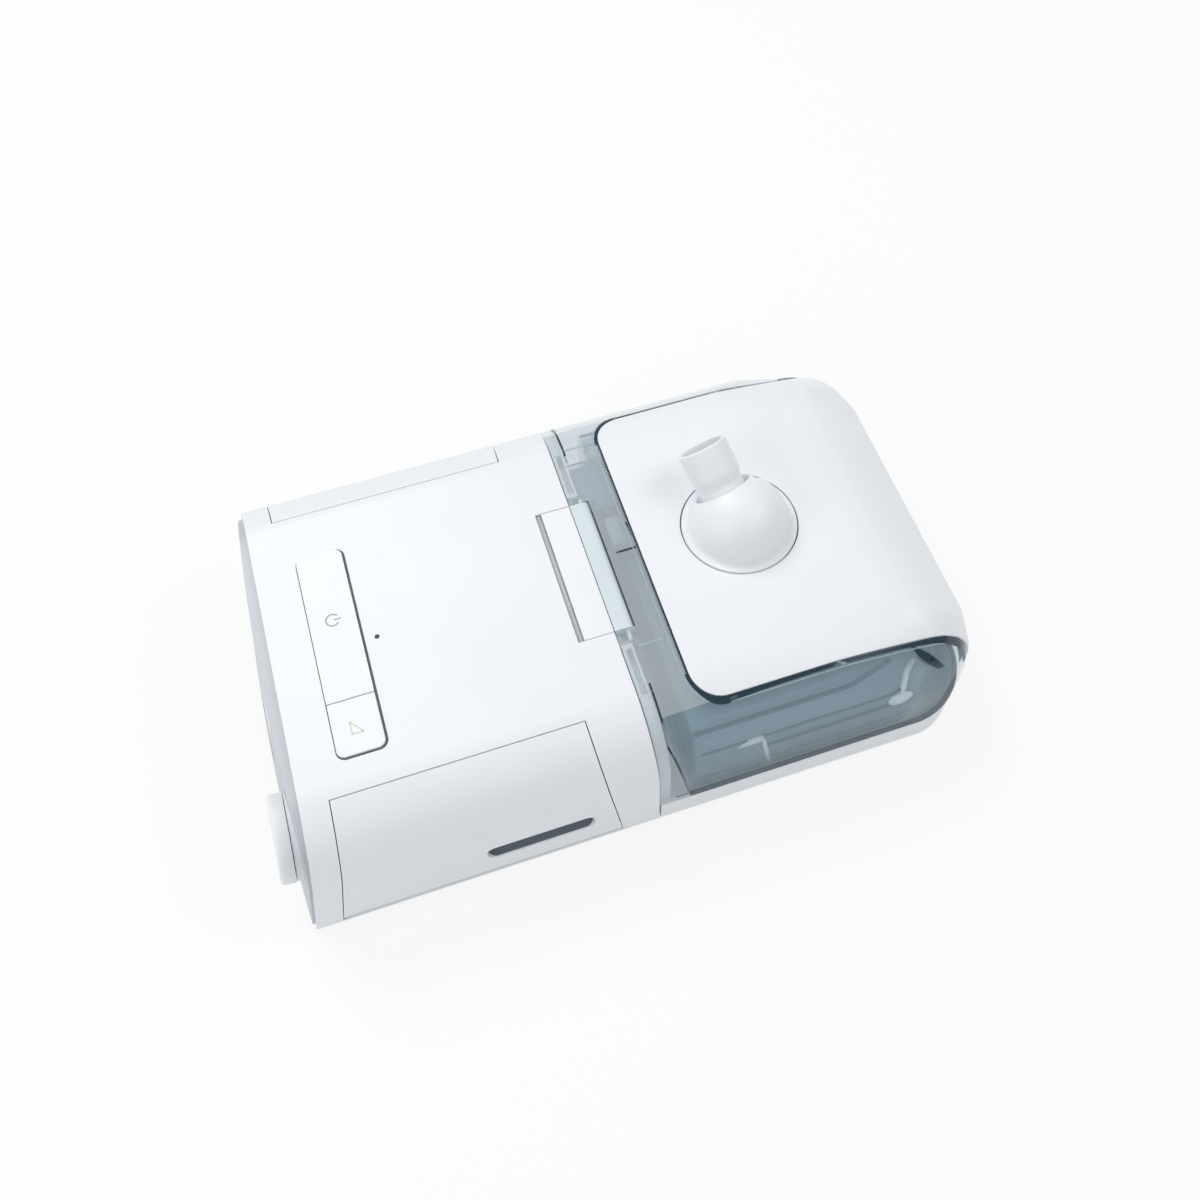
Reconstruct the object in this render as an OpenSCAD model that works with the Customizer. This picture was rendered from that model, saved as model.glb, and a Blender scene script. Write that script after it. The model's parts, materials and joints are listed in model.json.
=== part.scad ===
// Bedside CPAP therapy unit with its heated humidifier docked on.
// x runs along the machine: display face at -x, humidifier at +x, dock plane near the middle.
// The long side with the air slot is at -y. z = 0 is the table.

/* [Overall] */
// Width across both long sides
body_w = 184; // [176:1:196]
// Height of the closed top above the table
body_h = 78; // [76:0.5:84]
// Length of the therapy half, from the dock plane to the foot of the display face
therapy_len = 156; // [154:1:170]
// Length of the humidifier half, from the dock plane to its far end
humid_len = 158; // [156:1:172]
// Radius of the long top edges
shoulder_r = 31; // [28:0.5:33]
// Radius of the long bottom edges
sole_r = 4; // [3.5:0.5:5]
// Wall of the mouldings
wall = 2.4; // [2.2:0.1:2.8]
// Clearance between neighbouring pieces
gap = 0.3; // [0.25:0.05:0.4]
// Height of the rubber feet below the housings
foot_h = 2; // [1.5:0.25:3]

/* [Display face] */
// How far the face leans back over its whole height
face_lean = 18; // [14:0.5:20]
// How far the middle of the face bulges forward
face_bow = 5; // [3:0.5:6]
// Thickness of the face moulding
bezel_t = 2.6; // [2.2:0.1:3]
// Width of the display window
window_w = 88; // [70:1:96]
// Height of the display window
window_h = 42; // [34:1:46]
// Place of the window's middle across the face
window_y = 22; // [16:1:28]
// Diameter of the control dial
dial_d = 37; // [30:1:38]
// How far the dial's front stands out of the face plane
dial_out = 11; // [10:0.5:13]
// Distance from the near side to the middle of the dial
dial_side = 28; // [26:1:32]
// Place of the dial up the face
dial_s = 46; // [40:1:48]
// Push travel of the dial
dial_travel = 0.8; // [0.5:0.1:1]

/* [Keys] */
// Size of the key frame along the machine
key_w = 20; // [16:0.5:22]
// Distance from the foot of the display face to the middle of the keys
key_front = 46; // [42:1:50]
// Far end of the power key
key_far_y = 44; // [40:1:48]
// Line between the power key and the ramp key
key_split_y = -28; // [-32:1:-24]
// Near end of the ramp key
key_near_y = -52.5; // [-56:0.5:-48]
// How far the keys stand proud of the top
key_proud = 0.9; // [0.5:0.1:1.2]
// Travel of a key
key_travel = 1; // [0.6:0.1:1]
// Corner radius of the key frame
key_corner_r = 3.5; // [2:0.5:5]

/* [Side doors] */
// Strip of housing between the face edge and a door
door_front = 11.5; // [10:0.5:14]
// Strip of housing between the dock plane and a door, at the table
door_rear = 16.3; // [15:0.5:20]
// How far the door's rear seam leans forward over the height
door_rear_lean = 6.7; // [4:0.5:10]
// Distance from the middle to a door's top edge
door_top_y = 67; // [65:0.5:70]
// Clearance round a door
door_gap = 0.4; // [0.35:0.05:0.5]
// Radius of the door's hinge roll
door_roll_r = 2.6; // [2.4:0.1:3]
// Radius of the door's hinge pins
door_pin_r = 1.2; // [1:0.1:1.3]
// Length of the air slot
slot_len = 47; // [36:1:50]
// Height of the air slot at the surface
slot_h = 12; // [9:0.5:13]
// Distance from the dock plane to the middle of the slot
slot_x = 52.5; // [50:0.5:56]
// Height of the slot's middle
slot_z = 29.5; // [28:0.5:32]

/* [Blower] */
// Outer radius of the blower housing
blower_r = 44; // [41:0.5:45]
// Height of the blower housing
blower_h = 36; // [33:0.5:37]
// Radius of the impeller
impeller_r = 34; // [30:0.5:36]
// Number of impeller blades
blades = 11; // [7:1:13]
// Radius of the impeller shaft
shaft_r = 2; // [1.5:0.1:2.5]
// Radius of the air passage at the dock
port_r = 11; // [10:0.25:12]

/* [Humidifier] */
// Radius of the lid's top edge at the far end
end_r = 50; // [44:1:52]
// Corner radius at the far end, seen from above
corner_r = 33; // [30:1:36]
// Radius of the lid's top edge round its far corners
corner_edge_r = 45; // [40:1:50]
// How far the far end bulges in its middle
end_bow = 3; // [2:0.5:4]
// Height of the lid's lower edge
rim_z = 21.1; // [20:0.1:23]
// Thickness of the dock wall
dock_t = 5; // [4:0.5:6]
// Distance from the dock plane to the cover plate
plate_x = 22.8; // [20:0.5:26]
// Half width of the cover plate
plate_y = 74; // [70:0.5:78]
// How far the cover plate stands proud of the lid
plate_proud = 0.8; // [0.5:0.1:1.2]
// Corner radius of the cover plate
plate_corner_r = 13; // [8:1:18]
// Gap between the tank and the lid's outside
tank_inset = 7; // [6:0.5:8]
// Wall of the water tank
tank_wall = 2; // [1.6:0.1:2.4]
// Room between the water tank and the lid's inside
tank_room = 13.6; // [13:0.1:18]
// Radius of the heater plate
heater_r = 40; // [34:1:44]

/* [Outlet elbow] */
// Distance from the dock plane to the swivel
swivel_x = 68; // [60:1:74]
// Radius of the round opening in the cover plate
swivel_ring_r = 26; // [25:0.5:28]
// Radius of the swivel bore
swivel_bore_r = 15; // [14:0.5:15.5]
// Outer radius of the outlet, for a 22 mm hose
outlet_r = 11; // [10.5:0.1:11.5]
// Distance from the swivel's middle to the outlet's mouth
outlet_len = 38; // [34:0.5:44]
// Angle of the outlet above level
outlet_tilt = 40; // [35:1:50]
// Direction of the outlet, seen from above
outlet_turn = 107; // [90:1:120]

/* [Latch] */
// Half width of the latch
latch_y = 33; // [28:0.5:34]
// How far the latch reaches over the therapy unit
latch_over = 12.9; // [11:0.1:13]
// Width of the finger groove beside the latch
latch_groove = 2.6; // [2:0.1:3]
// Radius of the latch's roll
latch_roll_r = 2.9; // [2.8:0.1:3.1]
// Radius of the hinge pins of the lid and the latch
lid_pin_r = 1; // [0.8:0.1:1.1]
// Radius of the lid's hinge roll
lid_roll_r = 2.8; // [2.7:0.1:3]

/* [Hidden] */
$fn = 96;
// Segments of the very large arcs
bow_fn = 720;
// Overlap that joins two shapes of one moulding, and the reach of a cut past a face
eps = 0.5;
// Running clearance of a pin or shaft in its bore
run = 0.05;
// Reach of the blocks that trim a moulding
far = 400;

half_w = body_w / 2;
floor_z = foot_h + wall;
top_in = body_h - wall;
shoulder_y = half_w - shoulder_r;
dial_y = dial_side - half_w;
key_x = therapy_len - key_front;
lean_angle = atan(face_lean / body_h);
face_half = half_w - wall - gap;
face_edge_bow = 3.8;
face_r = (face_half * face_half + face_edge_bow * face_edge_bow) / (2 * face_edge_bow);
end_half = half_w - corner_r;
end_bow_r = (end_half * end_half + end_bow * end_bow) / (2 * end_bow);
// How far the rounded edges of the humidifier overshoot its flats, so that they cross instead of touching
over = 0.12;
// Directions of the turned top edges that round each upper corner
corner_turns = [15, 30, 45, 60, 75];
corner_y = end_half + over;
corner_x = humid_len - end_bow_r + sqrt(pow(end_bow_r - corner_r, 2) - corner_y * corner_y);
front_reach = therapy_len + dial_out * cos(lean_angle) - (dial_s - dial_d / 2) * sin(lean_angle);
end_reach = humid_len + plate_proud;
join_x = (front_reach - end_reach) / 2;

// Split between the lower housing and the cover, and the door hinge line
split_z = foot_h + sole_r;
door_hinge_z = split_z + gap + door_roll_r + 0.6;
door_hinge_y = half_w - door_roll_r;
door_pin_len = 5;

// Main board and what stands on it
board_t = 1.6;
board_top = top_in - 12;
board_x0 = therapy_len - 24;
board_x1 = key_x - 32;
board_y = 56;
board_post_r = 3.5;
board_post_in = 5;
screw_r = 1.25;
screw_head_r = 2.6;
screw_head_t = 2;
switch_h = 3;
switch_w = 6;
key_t = 2.2;
key_flange = 1.2;
key_stem_r = 1.8;
key_spring_r = 3;
sensor_x = key_x - 16;
sensor_y = -3.4;
sensor_r = 1;

// Seats inside the therapy unit
mount_h = 7.6;
mount_r = 5;
blower_x = -16 - blower_r;
modem_room = 34;
blower_y = half_w - modem_room - blower_r;
blower_z = floor_z + mount_h;
blower_wall = 2;
blower_mid = blower_z + blower_h / 2;
exit_half = 13.5;
exit_y = blower_y + blower_r - exit_half;
exit_x = -16;
port_y = exit_y;
port_z = blower_mid + 1;
duct_wall = 1.5;
motor_r = 17;
motor_h = 8;
bearing_r = 5;
bearing_h = 3;
impeller_z = blower_z + 12;
impeller_h = 12;
rear_t = 2.4;
rear_x = -2 * gap;

// Filter bay behind the slot door
bay_x0 = slot_x + slot_len / 2 + 4;
bay_x1 = slot_x - slot_len / 2 - 3;
bay_z0 = floor_z + gap;
bay_z1 = slot_z + 28;
frame_y0 = half_w - 8;
frame_t = 12;
box_y0 = frame_y0 - frame_t - gap;
box_y1 = blower_r - blower_y + 2;
box_wall = 2;
hood_z1 = bay_z1;

// Humidifier stack
dock_x0 = 0.8;
dock_x1 = dock_x0 + dock_t;
heater_x = 80;
element_t = 1.6;
lead_t = 1.4;
gasket_t = 1;
heater_t = 1.2;
heater_top = floor_z + element_t + gasket_t + heater_t;
tank_z = heater_top + 0.1;
tank_top = top_in - tank_room;
tank_x0 = 18;
tank_end = 8;
tank_cover_t = 2;
lid_x0 = 0.4;
recess_t = wall / 2;
lid_hinge_x = humid_len - lid_roll_r;
lid_hinge_z = rim_z + 2.5;
lid_hinge_half = 38;
lid_lug_y = 25;
lid_lug_half = 3;
plate_low_z = lid_hinge_z + 6.5;
jack_y = -40;
jack_z = 11.5;
jack_r = 6;
release_y = 44;
release_half = 10;
release_z = 11.8;
release_travel = 3;
chimney_r = 20;
chimney_wall = 3;

// Swivel stack, measured from the lid's recessed top
swivel_z = body_h - recess_t;
collar_low = top_in - 7;
elbow_z = body_h + 0.5;
dome_r = 22;
dome_cut = 17;
outlet_bore_r = outlet_r - 2;

// Latch
latch_roll_x = 6;
latch_roll_z = body_h + 0.1 - latch_roll_r;
latch_floor_z = body_h - 4;

// Profiles -----------------------------------------------------------------------------------

// Draws a section given in (y, z) and runs it from x0 to x1
module along_x(x0, x1) {
    translate([x0, 0, 0])
        rotate([90, 0, 90])
            linear_extrude(x1 - x0)
                children();
}

// Draws an outline given in (x, z) and runs it from y0 to y1
module along_y(y0, y1) {
    translate([0, y1, 0])
        rotate([90, 0, 0])
            linear_extrude(y1 - y0)
                children();
}

module box(x, y, z) {
    translate([x[0], y[0], z[0]])
        cube([x[1] - x[0], y[1] - y[0], z[1] - z[0]]);
}

module rod_x(x0, x1, y, z, r) {
    translate([x0, y, z])
        rotate([0, 90, 0])
            cylinder(r = r, h = x1 - x0);
}

module rod_y(y0, y1, x, z, r) {
    translate([x, y1, z])
        rotate([90, 0, 0])
            cylinder(r = r, h = y1 - y0);
}

module post(x, y, z0, z1, r) {
    translate([x, y, z0])
        cylinder(r = r, h = z1 - z0);
}

module tube(x, y, z0, z1, outer, inner) {
    difference() {
        post(x, y, z0, z1, outer);
        post(x, y, z0 - eps, z1 + eps, inner);
    }
}

module rounded_rect(x, y, r) {
    for (cx = [x[0] + r, x[1] - r])
        for (cy = [y[0] + r, y[1] - r])
            translate([cx, cy])
                circle(r = r);
    translate([x[0] + r, y[0]])
        square([x[1] - x[0] - 2 * r, y[1] - y[0]]);
    translate([x[0], y[0] + r])
        square([x[1] - x[0], y[1] - y[0] - 2 * r]);
}

// Cross section of the whole machine, drawn in by inset
module body_section(inset = 0) {
    sole = max(sole_r, inset + eps);
    for (side = [-1, 1]) {
        translate([side * shoulder_y, body_h - shoulder_r])
            circle(r = shoulder_r - inset);
        translate([side * (half_w - sole), foot_h + sole])
            circle(r = sole - inset);
    }
    translate([-shoulder_y, foot_h + inset])
        square([2 * shoulder_y, body_h - foot_h - 2 * inset]);
    translate([inset - half_w, foot_h + sole])
        square([2 * (half_w - inset), body_h - shoulder_r - foot_h - sole]);
    translate([sole - half_w, foot_h + inset])
        square([2 * (half_w - sole), sole]);
}

// Side view of the humidifier, drawn in by inset
module end_profile(inset = 0) {
    sole = max(sole_r, inset + eps);
    end_x = humid_len + over;
    top = body_h + over;
    translate([end_x - end_r, top - end_r])
        circle(r = end_r - inset);
    translate([end_x - sole, foot_h + sole])
        circle(r = sole - inset);
    translate([0, foot_h + inset])
        square([end_x - end_r, top - foot_h - 2 * inset]);
    translate([0, foot_h + sole])
        square([end_x - inset, top - end_r - foot_h - sole]);
    translate([0, foot_h + inset])
        square([end_x - sole, sole]);
}

// Plan view of the humidifier, drawn in by inset
module plan_outline(inset = 0) {
    side_y = half_w + over - inset;
    bow_y = corner_y * (end_bow_r - inset) / (end_bow_r - corner_r);
    for (side = [-1, 1])
        translate([corner_x, side * corner_y])
            circle(r = corner_r - inset);
    translate([0, -side_y])
        square([corner_x, 2 * side_y]);
    intersection() {
        translate([humid_len - end_bow_r, 0])
            circle(r = end_bow_r - inset, $fn = bow_fn);
        translate([0, -bow_y])
            square([humid_len + 2, 2 * bow_y]);
    }
}

// Keeps what lies under a top edge that is turned about the corner on one side
module corner_edge(side, turn, inset) {
    reach = corner_r + 2 * over;
    top = body_h + over;
    translate([corner_x, side * corner_y, 0])
        rotate([0, 0, side * turn])
            along_y(-far, far) {
                translate([reach - corner_edge_r, top - corner_edge_r])
                    circle(r = corner_edge_r - inset);
                translate([-far, 0])
                    square([far + reach - corner_edge_r, top - inset]);
                translate([-far, 0])
                    square([far + reach - inset, top - corner_edge_r]);
            }
}

module humid_form(inset = 0) {
    intersection() {
        along_x(0, humid_len + eps * 4)
            body_section(inset);
        along_y(-half_w - eps * 4, half_w + eps * 4)
            end_profile(inset);
        linear_extrude(body_h + eps * 4)
            plan_outline(inset);
        intersection_for(turn = corner_turns)
            intersection() {
                corner_edge(1, turn, inset);
                corner_edge(-1, turn, inset);
            }
    }
}

// Leaning face -------------------------------------------------------------------------------

function face_x(z) = -therapy_len + face_lean * z / body_h;

// Puts children in the face's own axes: x runs inward, y across, z up the slope
module in_face() {
    translate([-therapy_len, 0, 0])
        rotate([0, lean_angle, 0])
            children();
}

// Everything behind the leaning plane
module behind_face() {
    along_y(-half_w - 1, half_w + 1)
        polygon([[face_x(0), 0], [0, 0], [0, body_h + 1], [face_x(body_h + 1), body_h + 1]]);
}

// Curved layer of the face between two depths below its front surface
module face_layer(depth0, depth1) {
    in_face()
        intersection() {
            difference() {
                translate([face_r - face_bow, 0, -body_h])
                    cylinder(r = face_r - depth0, h = 3 * body_h, $fn = bow_fn);
                translate([face_r - face_bow, 0, -body_h - 1])
                    cylinder(r = face_r - depth1, h = 3 * body_h + 2, $fn = bow_fn);
            }
            box([-10, 12], [-half_w, half_w], [-body_h, 2 * body_h]);
        }
}

module window_block(grow) {
    in_face()
        rotate([90, 0, 90])
            translate([0, 0, -10])
                linear_extrude(20)
                    rounded_rect([window_y - window_w / 2 - grow, window_y + window_w / 2 + grow],
                        [dial_s - window_h / 2 - grow, dial_s + window_h / 2 + grow], 4 + grow);
}

module dial_rod(x0, x1, r) {
    in_face()
        rod_x(x0, x1, dial_y, dial_s, r);
}

// Side doors ---------------------------------------------------------------------------------

// Region of the near side door; shrink draws it in on every edge
module door_zone(shrink = 0) {
    hi = body_h + 2;
    along_y(-half_w - 2, -door_top_y - shrink)
        polygon([
            [face_x(0) + door_front + shrink, 0],
            [-door_rear - shrink, 0],
            [-door_rear - door_rear_lean * hi / body_h - shrink, hi],
            [face_x(hi) + door_front + shrink, hi]]);
}

module far_side() {
    mirror([0, 1, 0])
        children();
}

door_x0 = face_x(door_hinge_z) + door_front;
door_x1 = -door_rear - door_rear_lean * door_hinge_z / body_h;

module door_panel() {
    difference() {
        intersection() {
            union() {
                difference() {
                    along_x(-therapy_len, 0)
                        body_section();
                    along_x(-therapy_len - 1, 1)
                        body_section(wall);
                    box([-far, far], [-far, far], [-1, door_hinge_z]);
                }
                rod_x(-therapy_len, 0, -door_hinge_y, door_hinge_z, door_roll_r);
            }
            door_zone(door_gap);
        }
        rod_x(-therapy_len, door_x0 + door_pin_len + eps, -door_hinge_y, door_hinge_z, door_pin_r + run);
        rod_x(door_x1 - door_pin_len - eps, 0, -door_hinge_y, door_hinge_z, door_pin_r + run);
    }
}

// Lugs of the cover that carry the near door's pins
module door_lugs() {
    lug_y = [-half_w + 1, -door_hinge_y + door_roll_r + 0.8];
    lug_z = [split_z + gap, door_hinge_z + door_roll_r];
    box([door_x0 - 6, door_x0 - 0.6], lug_y, lug_z);
    box([door_x1 + 0.6, door_x1 + 6], lug_y, lug_z);
}

// Therapy unit: housings ---------------------------------------------------------------------

// Places of the screws that join the housings
screw_in = 12;
screw_y = half_w - screw_in;
case_screws = [for (x = [screw_in - 2 - therapy_len, 3 - screw_in]) for (y = [-screw_y, screw_y]) [x, y]];
case_screw_top = split_z + 10;

module base_pan() {
    color("#e9ecee")
        difference() {
            union() {
                intersection() {
                    difference() {
                        along_x(-therapy_len, 0)
                            body_section();
                        along_x(-therapy_len - 1, 1)
                            body_section(wall);
                    }
                    behind_face();
                    box([-far, far], [-far, far], [0, split_z - 0.1]);
                }
                for (p = case_screws)
                    post(p[0], p[1], floor_z - eps, split_z - 0.1, 4);
                box([-therapy_len + 20, -therapy_len + 44], [-half_w + 10, -half_w + 32],
                    [floor_z - eps, card_z]);
                for (a = mount_angles)
                    translate([blower_x, blower_y, 0])
                        rotate([0, 0, a])
                            post(blower_r - 8, 0, floor_z - eps, floor_z + 3, 2);
                box([-20, -6], [dock_plug_y - 9, dock_plug_y + 9], [floor_z - eps, dock_plug_z - 5 - gap]);
            }
            for (p = case_screws) {
                post(p[0], p[1], 0, foot_h + screw_head_t + 0.1, screw_head_r + 0.1);
                post(p[0], p[1], 0, split_z + 1, screw_r + 0.1);
            }
            for (p = therapy_feet)
                post(p[0], p[1], 0, foot_h + foot_sink, foot_r + 0.1);
        }
}

module cover_screw_posts() {
    for (p = case_screws) {
        side = p[1] > 0 ? 1 : -1;
        post(p[0], p[1], split_z, case_screw_top + 2, 3.5);
        box([p[0] - 2, p[0] + 2], side > 0 ? [p[1], half_w - 1] : [1 - half_w, p[1]],
            [split_z, case_screw_top + 2]);
    }
}

module key_opening(grow) {
    linear_extrude(body_h + 2)
        rounded_rect([-key_x - key_w / 2 - grow, -key_x + key_w / 2 + grow],
            [key_near_y - grow, key_far_y + grow], key_corner_r + grow);
}

board_posts = [for (x = [-board_x0 + board_post_in, -board_x1 - board_post_in])
    for (y = [-board_y + board_post_in, board_y - board_post_in]) [x, y]];

module top_cover() {
    color("#f3f5f7")
        difference() {
            union() {
                intersection() {
                    difference() {
                        along_x(-therapy_len, 0)
                            body_section();
                        along_x(-therapy_len - 1, 1)
                            body_section(wall);
                        door_zone();
                        far_side()
                            door_zone();
                    }
                    behind_face();
                    box([-far, far], [-far, far], [split_z, body_h + 1]);
                }
                door_lugs();
                far_side()
                    door_lugs();
                cover_screw_posts();
                for (p = board_posts)
                    post(p[0], p[1], board_top, top_in + eps, board_post_r);
                box([-latch_over - latch_groove - 2, 0], [-latch_y - 2.5, latch_y + 2.5],
                    [latch_floor_z - 2, top_in + eps]);
            }
            translate([0, 0, board_top])
                key_opening(0.1);
            post(-sensor_x, sensor_y, board_top, body_h + 1, sensor_r + 0.1);
            for (p = board_posts)
                post(p[0], p[1], board_top - 1, board_top + 9, screw_r);
            for (p = case_screws)
                post(p[0], p[1], split_z - 1, case_screw_top, screw_r);
            box([-latch_over - latch_groove, 1], [-latch_y - gap, latch_y + gap],
                [latch_floor_z, body_h + 1]);
            for (side = [0, 1])
                mirror([0, side, 0]) {
                    rod_x(door_x0 - 7, door_x0 + 1, -door_hinge_y, door_hinge_z, door_pin_r);
                    rod_x(door_x1 - 1, door_x1 + 7, -door_hinge_y, door_hinge_z, door_pin_r);
                }
        }
}

// Display panel behind the window, measured inward from the face plane
lcd_u = [-1.2, 3.2];
lcd_edge = 2.05;
flange_back = 1.5;
flange_t = 2.2;
dial_seat = face_bow - 0.4;
dial_back = face_bow + dial_travel + gap;

// Flange round the bezel that reaches back into the housing's mouth, where the face bows out of it
module bezel_flange() {
    intersection() {
        face_layer(0, 20);
        in_face()
            box([-face_bow - 1, flange_back], [-half_w, half_w], [-5, body_h + 10]);
        along_x(-therapy_len - 10, 0)
            difference() {
                body_section(wall + gap);
                body_section(wall + gap + flange_t);
            }
    }
}

module front_bezel() {
    color("#b9bec3")
        difference() {
            union() {
                intersection() {
                    face_layer(0, bezel_t);
                    along_x(-therapy_len - 10, 0)
                        body_section(wall + gap);
                }
                bezel_flange();
                difference() {
                    dial_rod(-dial_seat, 0, dial_d / 2 - 0.5);
                    face_layer(bezel_t, 20);
                }
                in_face()
                    box([-2.6, lcd_u[1] - 1], [window_y - window_w / 2, window_y + window_w / 2],
                        [dial_s - window_h / 2, dial_s + window_h / 2]);
            }
            difference() {
                window_block(0);
                face_layer(1.8, 20);
            }
            window_block(-2);
            dial_rod(-12, 14, plunger_r + run);
        }
}

module display_window() {
    color("#20272c")
        intersection() {
            face_layer(0.2, 1.7);
            window_block(-0.2);
        }
}

module lcd_module() {
    tab_s = dial_s + window_h / 2 - lcd_edge - 2;
    color("#30363b") {
        intersection() {
            window_block(-lcd_edge);
            in_face()
                box(lcd_u, [-half_w, half_w], [0, body_h]);
        }
        in_face()
            for (side = [-1, 1])
                box([lcd_u[1] - eps, lcd_u[1] + 3], [window_y + side * 36 - 1, window_y + side * 36 + 1],
                    [tab_s - 6, tab_s]);
    }
}

dock_plug_y = -43;
dock_plug_z = 20;

module rear_panel() {
    color("#d9dcdf")
        difference() {
            along_x(rear_x - rear_t, rear_x)
                body_section(wall + gap);
            rod_x(-10, 5, port_y, port_z, port_r + duct_wall + gap);
            box([-10, 5], [dock_plug_y - 9.2, dock_plug_y + 9.2], [dock_plug_z - 5.2, dock_plug_z + 5.2]);
            box([-10, 5], [-latch_y - 3, latch_y + 3], [latch_floor_z - 2 - gap, body_h]);
            for (side = [0, 1])
                mirror([0, side, 0])
                    box([-10, 5], [75, half_w], [0, case_screw_top + 3]);
        }
}

// Therapy unit: electronics ------------------------------------------------------------------

module main_board() {
    color("#2f6b4a") {
        difference() {
            box([-board_x0, -board_x1], [-board_y, board_y], [board_top - board_t, board_top]);
            for (p = board_posts)
                post(p[0], p[1], board_top - 2 * board_t, board_top + 1, screw_r + 0.1);
        }
        box([-board_x1 - 24, -board_x1 - 10], [18, 34], [board_top - board_t - 2, board_top - board_t]);
        box([-board_x1 - 22, -board_x1 - 12], [-24, -12], [board_top - board_t - 1.6, board_top - board_t]);
        box([-board_x0 + 3, -board_x0 + 8], [-20, 30], [board_top, board_top + 2.5]);
        for (y = [-40, -32, 40])
            post(-board_x1 - 6, y, board_top, board_top + 7, 3);
    }
}

power_y = (key_far_y + key_split_y) / 2;
ramp_y = (key_near_y + key_split_y) / 2;
stem_low = board_top + switch_h + 0.2 + key_travel;
key_spring_y = [power_y - 24, power_y + 24, ramp_y - 7.5, ramp_y + 7.5];

module key_switches() {
    color("#3a3f44")
        for (y = [power_y, ramp_y]) {
            box([-key_x - switch_w / 2, -key_x + switch_w / 2], [y - switch_w / 2, y + switch_w / 2],
                [board_top, board_top + switch_h - 0.8]);
            post(-key_x, y, board_top + switch_h - 1, board_top + switch_h, 1.6);
        }
}

module light_sensor() {
    color("#454b50") {
        post(-sensor_x, sensor_y, board_top, body_h - 0.3, sensor_r);
        post(-sensor_x, sensor_y, board_top, board_top + 2, 2.5);
    }
}

module key(y0, y1, mid, near_corners, far_corners) {
    flange_z = [top_in - 0.2 - key_flange, top_in - 0.2];
    difference() {
        union() {
            intersection() {
                box([-far, far], [y0, y1], [flange_z[0], body_h + key_proud]);
                translate([0, 0, 1])
                    key_opening(-0.15);
            }
            box([-key_x - key_w / 2 - 1.2, -key_x + key_w / 2 + 1.2],
                [y0 - (near_corners ? 1.2 : 0), y1 + (far_corners ? 1.2 : 0)], flange_z);
            post(-key_x, mid, stem_low, flange_z[1], key_stem_r);
        }
        box([-key_x - key_w / 2 + 2, -key_x + key_w / 2 - 2], [y0 + 2, y1 - 2],
            [flange_z[1], body_h + key_proud - key_t]);
    }
}

module power_button() {
    color("#f6f8fa")
        key(key_split_y + 0.2, key_far_y, power_y, false, true);
}

module ramp_button() {
    color("#f6f8fa")
        key(key_near_y, key_split_y - 0.2, ramp_y, true, false);
}

module button_springs() {
    color("#aeb4b9")
        for (y = key_spring_y)
            tube(-key_x, y, board_top, top_in - 0.2 - key_flange, key_spring_r, key_spring_r - 0.7);
}

plunger_r = 6;
plunger_x = 9;
dial_shaft_r = 3;
encoder_x = 15;

module dial_plunger() {
    color("#8e959b")
        difference() {
            union() {
                dial_rod(-face_bow + 1.6, plunger_x, plunger_r);
                dial_rod(plunger_x - 3, plunger_x, plunger_r + 2.5);
            }
            dial_rod(-12, plunger_x + 1, dial_shaft_r + run);
        }
}

module dial_spring() {
    color("#aeb4b9")
        difference() {
            dial_rod(plunger_x, encoder_x, plunger_r + 1);
            dial_rod(plunger_x - 1, encoder_x + 1, plunger_r + 0.2);
        }
}

module encoder() {
    color("#3a3f44")
        difference() {
            union() {
                in_face()
                    box([encoder_x, encoder_x + 7], [dial_y - 9, dial_y + 9], [dial_s - 9, dial_s + 9]);
                in_face()
                    box([-2, encoder_x + 2], [dial_y - 15, dial_y - 11], [dial_s - 9, dial_s + 9]);
                in_face()
                    box([encoder_x + 2, encoder_x + 5], [dial_y - 15, dial_y], [dial_s - 9, dial_s + 9]);
            }
            dial_rod(plunger_x, encoder_x + 5, dial_shaft_r + run);
            face_layer(-1, bezel_t + 0.02);
        }
}

module control_dial() {
    edge = 1.5;
    color("#f4f6f8") {
        difference() {
            in_face()
                translate([-dial_out, dial_y, dial_s])
                    rotate([0, 90, 0])
                        rotate_extrude() {
                            translate([0, edge])
                                square([dial_d / 2, dial_out - dial_back - edge]);
                            square([dial_d / 2 - edge, edge + eps]);
                            translate([dial_d / 2 - edge, edge])
                                circle(r = edge, $fn = 48);
                        }
            dial_rod(-dial_back - 2.5, 0, plunger_r + 4);
        }
        dial_rod(-dial_back - 3, encoder_x + 2 - dial_travel, dial_shaft_r);
    }
}

// Data card and its reader, behind the near side door
card_z = floor_z + 16;
card_x = [20 - therapy_len, 44 - therapy_len];
card_y = 6 - half_w;
card_len = 23.9;

module card_reader() {
    color("#7d848a")
        difference() {
            box([card_x[0] - 1.5, card_x[1] + 4], [card_y + 4, card_y + card_len + 2.1], [card_z, card_z + 5]);
            box([card_x[0] - 0.2, card_x[1] + 0.2], [card_y + 3, card_y + card_len + 0.1],
                [card_z + 1.2, card_z + 3.7]);
        }
}

module data_card() {
    color("#23282c")
        box(card_x, [card_y, card_y + card_len], [card_z + 1.3, card_z + 3.4]);
}

// Therapy unit: air path ---------------------------------------------------------------------

module exit_box(z0, z1, inset) {
    box([blower_x, exit_x - (inset > 0 ? -1 : 0)], [exit_y - exit_half + inset, exit_y + exit_half - inset],
        [z0, z1]);
}

module blower_lower() {
    color("#c9cdd1")
        difference() {
            union() {
                post(blower_x, blower_y, blower_z, blower_mid, blower_r);
                exit_box(blower_z + 4, blower_mid, 0);
            }
            post(blower_x, blower_y, blower_z + blower_wall, blower_mid + 1, blower_r - blower_wall);
            exit_box(blower_z + 6, blower_mid + 1, blower_wall);
        }
}

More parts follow.
